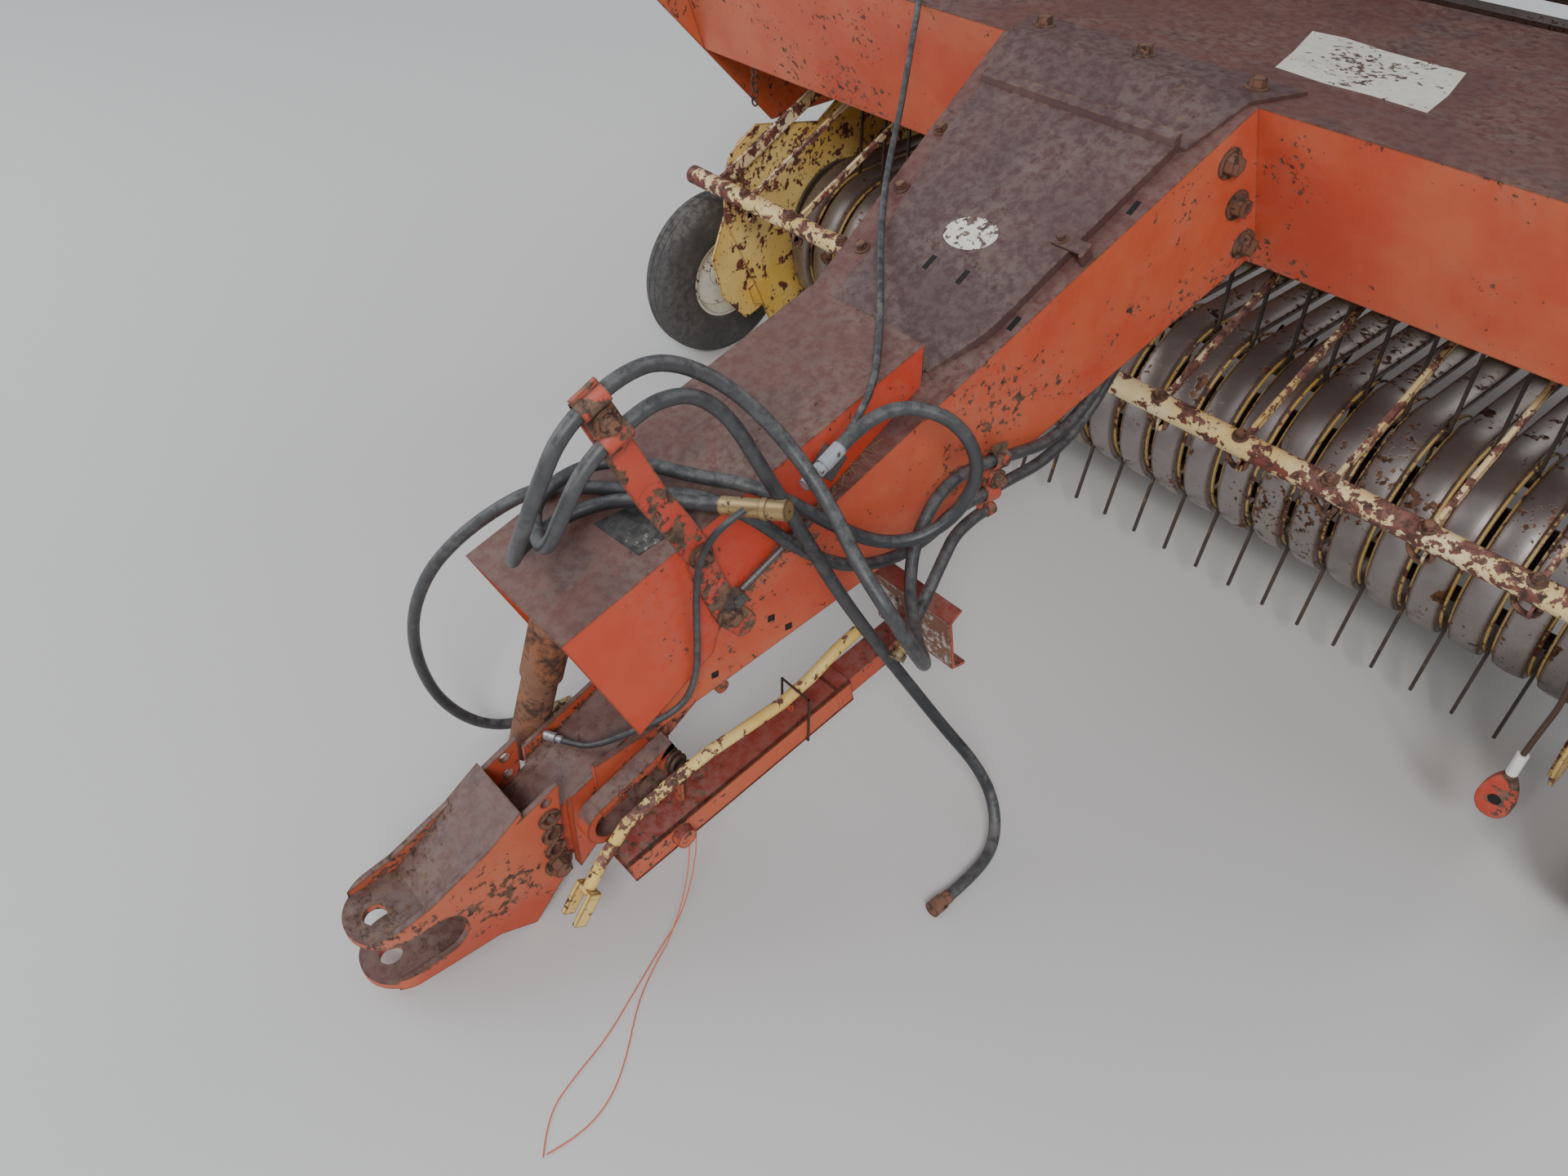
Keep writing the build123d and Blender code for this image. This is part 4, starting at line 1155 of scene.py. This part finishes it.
@dataclass
class Hood:
    """The formed lid on the tongue and the flange plate behind it, which stand for the plain lid."""

    lift: float = 18
    rear: float = 1400
    lip: float = 12
    lip_half: float = 190
    rows: tuple[tuple[float, float, float, float], ...] = (
        (970, -108, 115, 4.3), (1005, -122, 135, 10.7), (1045, -120.3, 156, 18), (1074, -119, 161, 18),
        (1215, -154.7, 172, 18), (1315, -180, 181.7, 18), (1385, -188.2, 188.8, 18),
    )
    dome_at: Pair = (1, 1310)
    dome_radius: float = 104
    dome_sink: float = 96
    lid_slots: tuple[Pair, ...] = ((-13, 1097), (55, 1098))
    side_holes: tuple[Pair, ...] = ((651, 441), (682, 408), (551, 376))
    flange: float = 6

    def lid(self) -> None:
        """The lid with its bent flap, rear lip and pressed dome."""
        piece = Piece()
        piece.strip([
            (y, right, left, tongue_top(y) + HAIR, tongue_top(y) + high) for y, right, left, high in self.rows
        ])
        piece.strip([
            (y, -self.lip_half, self.lip_half, tongue_top(y) + HAIR, tongue_top(y) + self.lift + self.lip)
            for y in (self.rear - 15, self.rear)
        ])
        arc = [
            (self.dome_radius * math.cos(turn) - self.dome_sink, self.dome_radius * math.sin(turn))
            for turn in (0.0, 0.1, 0.2, 0.3, 0.395)
        ]
        piece.turned(arc + [(-3, 40.2), (-3, 0)], on_tongue(*self.dome_at, self.lift), TONGUE_UP, 36)
        piece.done("hood", DECK, replaces=("tongue_cover",))

    def slots(self) -> None:
        """Painted shade: thin dark blocks in two slots in the lid and in three spare holes in the tongue's
        sides.
        """
        piece = Piece()
        for x, y in self.lid_slots:
            piece.block(on_tongue(x, y, self.lift), (9, 27, 1.2), facing(TONGUE_UP))
        for y, z in self.side_holes:
            piece.block(from_pin(tongue_half(y), y, z), (1.6, 12, 12), Matrix.Rotation(-0.137, 4, "Z"))
        piece.done("lid_and_side_hole_shade", SHADOW)

    def flange_plate(self) -> None:
        """The plate that bolts the tongue to the deck."""
        low, high = DECK_TOP + HAIR, DECK_TOP + self.flange
        piece = Piece()
        piece.strip([
            (1402, -200, 200, tongue_top(1402) + HAIR, tongue_top(1402) + self.flange),
            (1497, -231.2, 231.2, tongue_top(1497) + HAIR, high),
            (1500, -232.2, 232.2, low, high),
            (1600, -265, 265, low, high),
        ])
        piece.done("flange_plate", DECK)

    def build(self) -> None:
        """All of it."""
        self.lid()
        self.slots()
        self.flange_plate()


@dataclass
class Stand:
    """The stored parking stand with its sleeve, leg, foot, ring and rod, in place of the plain one."""

    sides: Pair = (140, 200)
    depth: float = 50
    wall: float = 5
    run: float = 450.5
    leg_end: Pair = (929, 298.6)
    boss_at: Pair = (410, 196)
    foot_at: Pair = (926, 298)
    foot_half: tuple[Pair, ...] = ((0, 60), (28, 72), (31, 66), (6, 55))
    foot_sides: Pair = (82, 258)
    ring_ends: tuple[Pair, Pair] = ((333, 215), (470, 265))
    ring_sides: Pair = (96, 126)
    ring_outer: float = 40
    ring_inner: float = 26
    fork_at: Pair = (262, 160)
    fork_tip: Pair = (227, 111)
    rod_x: float = 165
    rod_path: tuple[Pair, ...] = (
        (262, 160), (289, 198), (340, 246), (420, 272), (494, 286), (574, 288), (640, 291), (700, 308),
        (755, 334), (800, 348),
    )

    def leg(self) -> None:
        """The hollow sleeve, the leg in it and the folded foot."""
        depth, wall = self.depth, self.wall
        right, left = self.sides
        ends = on_stand(0), on_stand(self.run)
        piece = Piece()
        for lift in (depth / 2 - wall / 2, wall / 2 - depth / 2):
            piece.strut(*ends, wall, right, left, lift)
        for x in (right, left - wall):
            piece.strut(*ends, depth, x, x + wall)
        piece.strut(on_stand(self.run - 30), on_stand(self.run - 24), depth, right + 1, left - 1)
        piece.strut(on_stand(self.run - 20), self.leg_end, 38, right + 8, left - 8)
        low_half = [(along, -lift) for along, lift in self.foot_half]
        corners = [low_half[0], *self.foot_half, *low_half[:0:-1]]
        piece.slab([on_stand(along, lift, self.foot_at) for along, lift in corners], *self.foot_sides)
        piece.rod(self.boss_at, 17, left - 2, left + 15)
        piece.done("stand_leg", STAND, "stand", ("parking_stand",))

    def ring(self) -> None:
        """The rounded ring that the stand hangs from."""
        start, end = self.ring_ends
        far, near = self.ring_outer, self.ring_inner
        middle = (far + near) / 2
        piece = Piece()
        for lift in (middle, -middle):
            piece.strut(start, end, far - near, *self.ring_sides, lift)
        slope = math.atan2(end[1] - start[1], end[0] - start[0])
        for (y, z), side in ((start, 1), (end, -1)):
            turns = [slope + side * math.pi / 2 + side * math.pi * i / 12 for i in range(13)]
            outer = [(y + far * math.cos(turn), z + far * math.sin(turn)) for turn in turns]
            inner = [(y + near * math.cos(turn), z + near * math.sin(turn)) for turn in reversed(turns)]
            piece.slab(outer + inner, *self.ring_sides)
            piece.rod((y, z - middle), 9, 70, 100)
        piece.done("bracket_ring", CLEVIS)

    def rod(self) -> None:
        """The bent rod with its fork end."""
        piece = Piece()
        piece.tube([(self.rod_x, y, z) for y, z in self.rod_path], 10)
        for x in (146, 176):
            piece.strut(self.fork_at, self.fork_tip, 22, x, x + 8)
        piece.strut(self.fork_at, (257, 153), 20, 147, 183)
        piece.done("stand_rod", YELLOW, "stand")

    def saddles(self) -> None:
        """The two strips that hold the rod off the sleeve."""
        piece = Piece()
        for y, low, high in ((435, 200, 266), (655, 240, 284)):
            piece.strut((y, low), (y, high), 6, self.rod_x - 9, self.rod_x + 9)
        piece.done("rod_saddles", STAND, "stand")

    def build(self) -> None:
        """All of it."""
        self.leg()
        self.ring()
        self.rod()
        self.saddles()


@dataclass
class Windguard:
    """The pipe with its flat rods and arms, in place of the plain one."""

    pipe: Pair = (1440, 540)
    pipe_radius: float = 21
    pipe_half: float = 1075
    knee: Pair = (1750, 690)
    pivot: Pair = (2050, 700)
    rods: int = 12
    pitch: float = 159
    rod_depth: float = 12
    rod_half: float = 5
    lug_drop: float = 33
    lug_depth: float = 28
    arms: Pair = (-988, 978)
    arm_depth: float = 30
    arm_width: float = 10

    def places(self) -> list[float]:
        """Each rod's place across the machine."""
        return places_across(self.rods, self.pitch)

    def build(self) -> None:
        """The pipe, the rods over the bands with a lug beside each, and the arms to the pivots."""
        piece = Piece()
        piece.rod(self.pipe, self.pipe_radius, -self.pipe_half, self.pipe_half)
        lug_end = (self.pipe[0], self.pipe[1] - self.lug_drop)
        rod_end = (self.pivot[0] + 40, self.pivot[1] + 2)
        for x in self.places():
            lug = (x + 9.5, x + 14.5)
            for ends in ((self.pipe, self.knee), (self.knee, rod_end)):
                piece.strut(*ends, self.rod_depth, x - self.rod_half, x + self.rod_half)
            piece.strut(self.pipe, lug_end, self.lug_depth, *lug)
            piece.rod(lug_end, self.lug_depth / 2, *lug, 16)
        for x in self.arms:
            for ends in ((self.pipe, self.knee), (self.knee, self.pivot)):
                piece.strut(*ends, self.arm_depth, x, x + self.arm_width)
            piece.rod(self.pivot, 24, x, x + self.arm_width)
        piece.rod(self.pivot, 10, -1018, 1018)
        piece.done("windguard_rods", CREAM, "windguard", ("windguard",))


@dataclass
class Dividers:
    """The pickup's end plates and the gauge wheels' plates over the plain ones."""

    shield: tuple[Pair, ...] = (
        (1495, 595), (1573, 645), (1775, 604), (1990, 745), (2090, 745), (2150, 640), (2150, 480),
        (2050, 250), (1900, 90), (1700, 60), (1620, 100), (1560, 250), (1472, 440), (1472, 540),
    )
    divider: tuple[Pair, ...] = (
        (1785, 599), (1581, 640), (1524, 615), (1504, 586), (1483, 533), (1480, 467), (1607, 290),
        (1677, 350), (1691, 508),
    )
    gauge: tuple[Pair, ...] = (
        (1483, 448), (1439, 344), (1467, 235), (1539, 154), (1640, 185), (1668, 232), (1655, 300),
        (1600, 285), (1557, 300),
    )

    def build(self) -> None:
        """Plates on both sides, each a little further out than the one before."""
        for name, edge, near, far in (
            ("end_plates", self.shield, 999.5, 1006.15),
            ("divider_plates", self.divider, 1006.3, 1012.3),
            ("gauge_plates", self.gauge, 1012.6, 1020.6),
        ):
            piece = Piece()
            for side in SIDES.values():
                piece.slab(list(edge), side * near, side * far)
            piece.done(name, YELLOW, "pickup")


@dataclass
class HolderHardware:
    """Bolts of the hose holder and the side clamp, as (place from the pin, size across flats)."""

    bolts: tuple[tuple[Point, float], ...] = (
        ((129, 571, 499), 27), ((129, 527, 633), 24), ((152.8, 393, 916), 22), ((217.5, 1038.6, 563), 20),
    )

    def build(self) -> None:
        """Heads that look to the left."""
        piece = Piece()
        for at, across in self.bolts:
            piece.bolt(from_pin(*at), LEFT, across)
        piece.done("holder_bolts", BOLT)


@dataclass
class HitchHardware:
    """Washers and bolts round the clevis' row of holes, the spring, the rod's tie and the foot's skin."""

    side_x: float = 63
    row_y: float = 266
    bolt_z: float = 108
    washer_z: Point = (145, 182, 219)
    tie_y: float = 664
    foot_at: Point = (170, 926, 298)

    def washers(self) -> None:
        """Rusty washers round the row of holes, and a bolt in the lowest."""
        piece = Piece()
        for z in self.washer_z:
            for side in SIDES.values():
                at = from_pin(side * self.side_x, self.row_y, z)
                piece.sleeve(at, (side, 0, 0), 9.5, 19, 3, 20)
        for side in SIDES.values():
            piece.bolt(from_pin(side * self.side_x, self.row_y, self.bolt_z), (side, 0, 0), 30)
        piece.done("clevis_washers", BOLT)

    def spring(self) -> None:
        """The short coil spring in the bracket's ring."""
        piece = Piece()
        piece.coil(from_pin(96, 452, 262), (1, 0.1, 0), 15, 4, 9.5, 5)
        piece.done("bracket_spring", WIRE)

    def rod_tie(self) -> None:
        """Iron wire round the rod and the stand's sleeve."""
        piece = Piece()
        for z in (310, 218):
            piece.block(from_pin(170, self.tie_y, z), (66, 3, 3))
        for x in (138, 202):
            piece.block(from_pin(x, self.tie_y, 264), (3, 3, 95))
        piece.done("rod_tie", WIRE, "stand")

    def foot_skin(self) -> None:
        """Rust and lichen on both faces of the foot."""
        start, way = from_pin(*self.foot_at), Vector((0, *STAND_WAY))
        piece = Piece()
        for reach, size in ((0.0062, (172, 106, 0.8)), (-0.0006, (174, 118, 0.8))):
            piece.block(start + way * reach, size, facing(way))
        piece.done("foot_skin", LICHEN, "stand")

    def build(self) -> None:
        """Everything round the hitch."""
        self.washers()
        self.spring()
        self.rod_tie()
        self.foot_skin()


@dataclass
class Bands:
    """The stripper bands: shallow steel channels with turned-in edges, bent round the reel."""

    middle: Pair = (1840, 320)
    radius: float = 190
    rear: float = 2145
    wrap: float = 195  # degrees from the band's top round to its low end
    count: int = 25
    pitch: float = 78
    outer: tuple[Pair, ...] = ((29, -12), (28.4, -5), (26, -1.6), (20, 0), (8, 1.6))
    inner: tuple[Pair, ...] = ((27, -12), (26.2, -6), (24.2, -3.4), (19.4, -2), (8, -0.4))
    back_edges: tuple[Pair, ...] = ((-34, -28), (28, 34))
    back_depths: Pair = (15, 12)

    def section(self) -> list[Pair]:
        """The channel's section, from its left half's outer and inner skin.

        Returns:
            (x, height above the band's radius) round the section.
        """
        skin = [(-x, z) for x, z in self.outer] + list(reversed(self.outer))
        return skin + list(self.inner) + [(-x, z) for x, z in reversed(self.inner)]

    def band(self) -> bpy.types.Mesh:
        """Make one band: run its section back to the tube, and spin it round to the low end.

        Returns:
            The band's mesh, in the middle of the machine.
        """
        one = bmesh.new()
        centre = from_pin(0, *self.middle)
        corners = [
            one.verts.new(centre + Vector((x / 1000, 0, (self.radius + lift) / 1000)))
            for x, lift in self.section()
        ]
        one.faces.new(corners)
        run = bmesh.ops.extrude_face_region(one, geom=one.verts[:] + one.edges[:] + one.faces[:])
        moved = [item for item in run["geom"] if isinstance(item, bmesh.types.BMVert)]
        bmesh.ops.translate(one, vec=(0, (self.rear - self.middle[0]) / 1000, 0), verts=moved)
        start = [f for f in one.faces if all(abs(v.co.y - centre.y) < 1e-6 for v in f.verts)]
        around = {v for f in start for v in f.verts}
        rims = [e for e in one.edges if e.verts[0] in around and e.verts[1] in around]
        bmesh.ops.spin(one, geom=list(around) + rims + start, cent=centre, axis=LEFT,
                       angle=math.radians(self.wrap), steps=26)
        bmesh.ops.remove_doubles(one, verts=one.verts, dist=1e-6)
        bmesh.ops.delete(one, geom=[f for f in start if f.is_valid], context="FACES_ONLY")
        mesh = bpy.data.meshes.new("band")
        one.to_mesh(mesh)
        one.free()
        return mesh

    def bands(self) -> None:
        """Copies of the band, one between each two rows of tines."""
        mesh = self.band()
        piece = Piece()
        for x in places_across(self.count, self.pitch):
            part = bmesh.new()
            part.from_mesh(mesh)
            piece.take(part, Matrix.Translation((x / 1000, 0, 0)))
        bpy.data.meshes.remove(mesh)
        piece.done("bands", BAND, "pickup", ("stripper_bands",))

    def backs(self) -> None:
        """Thin yellow backs that show on both sides of each band."""
        inner, outer = (self.radius - depth for depth in self.back_depths)
        piece = Piece()
        for x in places_across(self.count, self.pitch):
            for low, high in self.back_edges:
                profile = [(low, inner), (high, inner), (high, outer), (low, outer)]
                piece.turned(profile, from_pin(x, *self.middle), LEFT, 40)
        piece.done("band_backs", YELLOW, "pickup")

    def build(self) -> None:
        """The bands and their backs."""
        self.bands()
        self.backs()


@dataclass
class PickupHardware:
    """Bolts, loops, the short chain and the lift rope of the pickup and its windguard."""

    guard: Windguard = field(default_factory=Windguard)
    divider_heads: tuple[Pair, ...] = ((1581, 382), (1660, 355), (1713, 303))
    gauge_heads: tuple[Pair, ...] = ((1610, 215), (1500, 300))
    rope_top: Point = (975, 1440, 518.5)
    rope_end: Point = (971, 1446, 262)
    chain_top: Point = (-1050, 1610, 742)

    def pipe_bolts(self) -> None:
        """A bolt on the pipe at each rod, and the loop under it."""
        y, z = self.guard.pipe
        piece = Piece()
        for x in self.guard.places():
            piece.bolt(from_pin(x, y - 8, z + 19), (0, -0.38, 0.92), 17)
            piece.ring(from_pin(x, y + 4, z - 30), (0.15, 1, 0.2), 20, 5, 18)
        piece.done("pipe_bolts", BOLT, "windguard")

    def divider_bolts(self) -> None:
        """Bolts on the divider plates and the gauge wheels' plates, both sides."""
        piece = Piece()
        for side in SIDES.values():
            for heads, x, across in ((self.divider_heads, 1012.4, 15), (self.gauge_heads, 1020.7, 19)):
                for y, z in heads:
                    piece.bolt(from_pin(side * x, y, z), (side, 0, 0), across)
        piece.done("divider_bolts", BOLT, "pickup")

    def rope_fittings(self) -> None:
        """A white sleeve, a red thimble and a dark disc of painted shade in its eye, at the rope's low end.
        """
        x, y, z = self.rope_end
        sleeve = Piece()
        sleeve.cylinder(from_pin(x, y, z - 44.3), UP, 9, 44, 16)
        sleeve.done("rope_sleeve", WHITE, "windguard")
        thimble = Piece()
        turns = [math.tau * i / 32 for i in range(32)]
        loop = [(27 * math.sin(t) * (1 - 0.28 * math.cos(t)), -8 + 50 * math.cos(t)) for t in turns]
        corners = [from_pin(x + off, y - 6, z - 86 + lift) for off, lift in loop]
        thimble.outline(corners, Vector((0, 0.012, 0)))
        eye_at = from_pin(x, y, z - 104)
        thimble.ring(eye_at, REARWARDS, 13, 6)
        thimble.done("rope_thimble", HOLDER, "windguard")
        eye = Piece()
        eye.turned([(-7, 0), (-7, 10), (7, 10), (7, 0)], eye_at, REARWARDS, 20)
        eye.done("thimble_eye_shade", SHADOW, "windguard")

    def rope(self) -> None:
        """The lift rope's loose end under the pipe's left end."""
        x, y, z = self.rope_top
        middle = ((x - 5, y + 2, z - 68.5), (x + 3, y + 5, z - 138.5), (x - 2, y + 6, z - 203.5))
        Cord("lift_rope", (self.rope_top, *middle, self.rope_end), 9, 0.257, FarEnd.FITTING, Lay.HANGING,
             Stiffness.STIFF, WIRE, carries=("rope_sleeve", "rope_thimble"), body="windguard").lay_out()

    def chain(self) -> None:
        """A short chain that hangs from the platform's right end."""
        x, y, z = self.chain_top
        piece = Piece()
        for i in range(5):
            piece.ring(from_pin(x, y, z - i * 17), LEFT if i % 2 else REARWARDS, 9, 2.4, 12)
        piece.done("short_chain", WIRE)

    def build(self) -> None:
        """Everything on the pickup."""
        self.pipe_bolts()
        self.divider_bolts()
        self.rope_fittings()
        self.rope()
        self.chain()


@dataclass
class Wheels:
    """Ribbed main tyres and bald gauge tyres in place of the plain ones, and the wheel nuts."""

    main_x: float = 1085
    main_at: Pair = (3250, 380)
    main_size: Point = (135, 380, 205)  # half its width, its radius and its rim's
    gauge_x: float = 1170
    gauge_at: Pair = (1575, 215)
    gauge_size: Point = (52, 215, 110)
    grooves: Point = (-52, -16, 20)
    nut_x: float = 1155
    nut_circle: float = 46
    nut_count: int = 5

    def tyre(self, name: str, profile: list[Pair], mid_x: float, at: Pair, body: str) -> None:
        """A tyre in place of its plain one.

        Args:
            name: the plain tyre's node.
            profile: (x from its middle, radius) from one bead to the other.
            mid_x: its middle across the machine.
            at: the side-view point of its axle.
            body: the wheel that it turns with.
        """
        piece = Piece()
        piece.turned(profile, from_pin(mid_x, *at), LEFT, 72)
        piece.done(f"{name}_ribbed", TYRE, body, (name,))

    def main_profile(self) -> list[Pair]:
        """The main tyre's section with its ribs.

        Returns:
            (x from the tyre's middle, radius) from one bead to the other.
        """
        w, r, rim = self.main_size
        side = [
            (35 - w, rim), (6 - w, rim + 26), (-w, rim + 62), (-w, r - 78), (12 - w, r - 36),
            (24 - w, r - 14),
        ]
        tread = [(-92, r - 2), (-72, r)]
        for x in self.grooves:
            tread += [(x - 8, r), (x - 4, r - 11), (x + 12, r - 11), (x + 16, r)]
        tread += [(72, r), (92, r - 2)]
        return side + tread + [(-x, radius) for x, radius in reversed(side)]

    def gauge_profile(self) -> list[Pair]:
        """The gauge tyre's bald section.

        Returns:
            (x from the tyre's middle, radius) from one bead to the other.
        """
        w, r, rim = self.gauge_size
        side = [
            (8 - w, rim), (2 - w, rim + 10), (-w, rim + 30), (1 - w, r - 52), (5 - w, r - 26),
            (15 - w, r - 9),
        ]
        crown = [
            (-24, r - 2), (-13, r), (-11, r - 2.5), (-9, r), (9, r), (11, r - 2.5), (13, r), (24, r - 2),
        ]
        return side + crown + [(-x, radius) for x, radius in reversed(side)]

    def nuts(self) -> None:
        """Five nuts on each main wheel."""
        y, z = self.main_at
        for name, side in SIDES.items():
            piece = Piece()
            for i in range(self.nut_count):
                turn = math.tau * i / self.nut_count
                across, up = self.nut_circle * math.cos(turn), self.nut_circle * math.sin(turn)
                piece.bolt(from_pin(side * self.nut_x, y + across, z + up), (side, 0, 0), 20)
            piece.done(f"wheel_nuts_{name}", BOLT, f"wheel_{name}")

    def build(self) -> None:
        """All four tyres and the nuts."""
        for name, side in SIDES.items():
            self.tyre(f"tyre_{name}", self.main_profile(), side * self.main_x, self.main_at, f"wheel_{name}")
            self.tyre(f"gauge_tyre_{name}", self.gauge_profile(), side * self.gauge_x, self.gauge_at,
                      f"gauge_{name}")
        self.nuts()


@dataclass
class Litter:
    """Chaff in the gaps and loose twine, as the photo shows."""

    seed: int = 11
    first: tuple[Point, ...] = (
        (112, 466, 238), (150, 458, 222), (212, 432, 190), (228, 402, 110), (226, 372, 30), (232, 330, 4),
        (262, 262, 1.5), (300, 180, 1.5), (318, 110, 1.5), (340, 52, 1.5), (384, 18, 1.5),
    )
    second: tuple[Point, ...] = (
        (112, 440, 222), (150, 436, 212), (210, 420, 190), (236, 384, 110), (240, 344, 24), (250, 306, 3),
        (282, 250, 1.5), (352, 176, 1.5), (384, 122, 1.5), (392, 66, 1.5), (384, 24, 1.5),
    )

    def strands(self, name: str, finish: Coat, spots: list[tuple[Point, Point, int]], long: float) -> None:
        """Scatter thin strands.

        Args:
            name: the piece's name.
            finish: its finish.
            spots: (middle, half extents, count).
            long: the usual strand's length.
        """
        dice = random.Random(self.seed)
        piece = Piece()
        for middle, spread, count in spots:
            for _ in range(count):
                x, y, z = (m + dice.uniform(-s, s) for m, s in zip(middle, spread))
                z += (y - middle[1]) * TONGUE_RISE
                way = (dice.uniform(-1, 1), dice.uniform(-1, 1), dice.uniform(-0.3, 0.55))
                piece.block(from_pin(x, y, z), (1.3, 0.8, long * dice.uniform(0.4, 1.2)), facing(way))
        piece.done(name, finish)

    def twine(self) -> None:
        """Two orange strands from the bracket down to the ground."""
        for name, points, length in (("twine_a", self.first, 0.682), ("twine_b", self.second, 0.654)):
            Cord(name, points, 2, length, FarEnd.BARE, Lay.LOOSE, Stiffness.LIMP, TWINE).lay_out()

    def build(self) -> None:
        """All of it."""
        self.strands("gap_chaff", STRAW, [
            ((129, 650, tongue_top(650) + 3), (5, 70, 3), 90),
            ((60, 975, tongue_top(975) + 3), (46, 9, 2), 70),
            ((128, 800, tongue_top(800) + 2), (4, 60, 2), 40),
            ((-126, 760, tongue_top(760) + 2), (4, 120, 2), 50),
        ], 26)
        self.strands("old_chaff", DARK_STRAW, [
            ((66, 400, 262), (8, 60, 5), 130),
            ((-66, 400, 262), (8, 60, 5), 60),
            ((40, 968, tongue_top(968) + 2), (60, 9, 2), 60),
        ], 20)
        self.twine()


@dataclass
class Studio:
    """The camera, the pale floor and the soft lights, with places in metres."""

    eye: Point = (1.117, -2.288, 1.65)
    heading: float = 49.0  # degrees from +Y towards -X
    pitch: float = 41.6  # degrees below the horizon
    lens: float = 27.0
    sensor: float = 36.0
    sky: tuple[float, ...] = (0.82, 0.90, 1.0, 1)
    sky_strength: float = 0.55
    lights: tuple[tuple[str, Point, Point, float, float], ...] = (
        ("key", (5.5, -6.5, 6.5), (0, -1.2, 0.4), 3.0, 620),
        ("fill", (-5.5, -5.0, 4.0), (0, -1, 0.5), 5.0, 220),
        ("rim", (1.0, 6.5, 6.0), (0, 0, 0.8), 4.0, 260),
    )

    def camera(self) -> None:
        """The photo's camera."""
        data = bpy.data.cameras.new("Camera")
        data.lens = self.lens
        data.sensor_width = self.sensor
        data.clip_end = 200
        camera = bpy.data.objects.new("Camera", data)
        bpy.context.scene.collection.objects.link(camera)
        turn = Matrix.Rotation(math.radians(self.heading), 4, "Z")
        tip = Matrix.Rotation(math.radians(90 - self.pitch), 4, "X")
        camera.matrix_world = Matrix.Translation(self.eye) @ turn @ tip
        bpy.context.scene.camera = camera

    def floor(self) -> None:
        """A pale plain floor."""
        net = bmesh.new()
        bmesh.ops.create_grid(net, x_segments=1, y_segments=1, size=40)
        mesh = bpy.data.meshes.new("floor")
        net.to_mesh(mesh)
        net.free()
        mesh.materials.append(FLOOR.material())
        plane = bpy.data.objects.new("floor", mesh)
        bpy.context.scene.collection.objects.link(plane)

    def light_up(self) -> None:
        """A pale sky and large soft lights, each from its place towards its target."""
        world = bpy.data.worlds.new("Sky")
        bpy.context.scene.world = world
        world.use_nodes = True
        graph = Graph(world.node_tree)
        sky = graph.add("Background", {"Color": self.sky, "Strength": self.sky_strength})
        graph.add("OutputWorld", {"Surface": sky.outputs[0]})
        for name, at, target, size, power in self.lights:
            data = bpy.data.lights.new(name, "AREA")
            data.energy = power
            data.size = size
            light = bpy.data.objects.new(name, data)
            turn = (Vector(target) - Vector(at)).to_track_quat("-Z", "Y").to_matrix().to_4x4()
            light.matrix_world = Matrix.Translation(at) @ turn
            bpy.context.scene.collection.objects.link(light)

    def build(self) -> None:
        """Everything in the studio."""
        self.camera()
        self.floor()
        self.light_up()


def main() -> None:
    """Build the scene and report its pieces."""
    logging.basicConfig(level=logging.INFO, format="%(name)s: %(message)s")
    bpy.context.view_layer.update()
    for assembly in (
        Studio(), PaintShop(), Hood(), TongueHardware(), Stand(), HolderHardware(), HitchHardware(),
        Windguard(), Dividers(), Bands(), PickupHardware(), Wheels(), Litter(), Plumbing(),
    ):
        assembly.build()


if __name__ == "__main__":
    main()
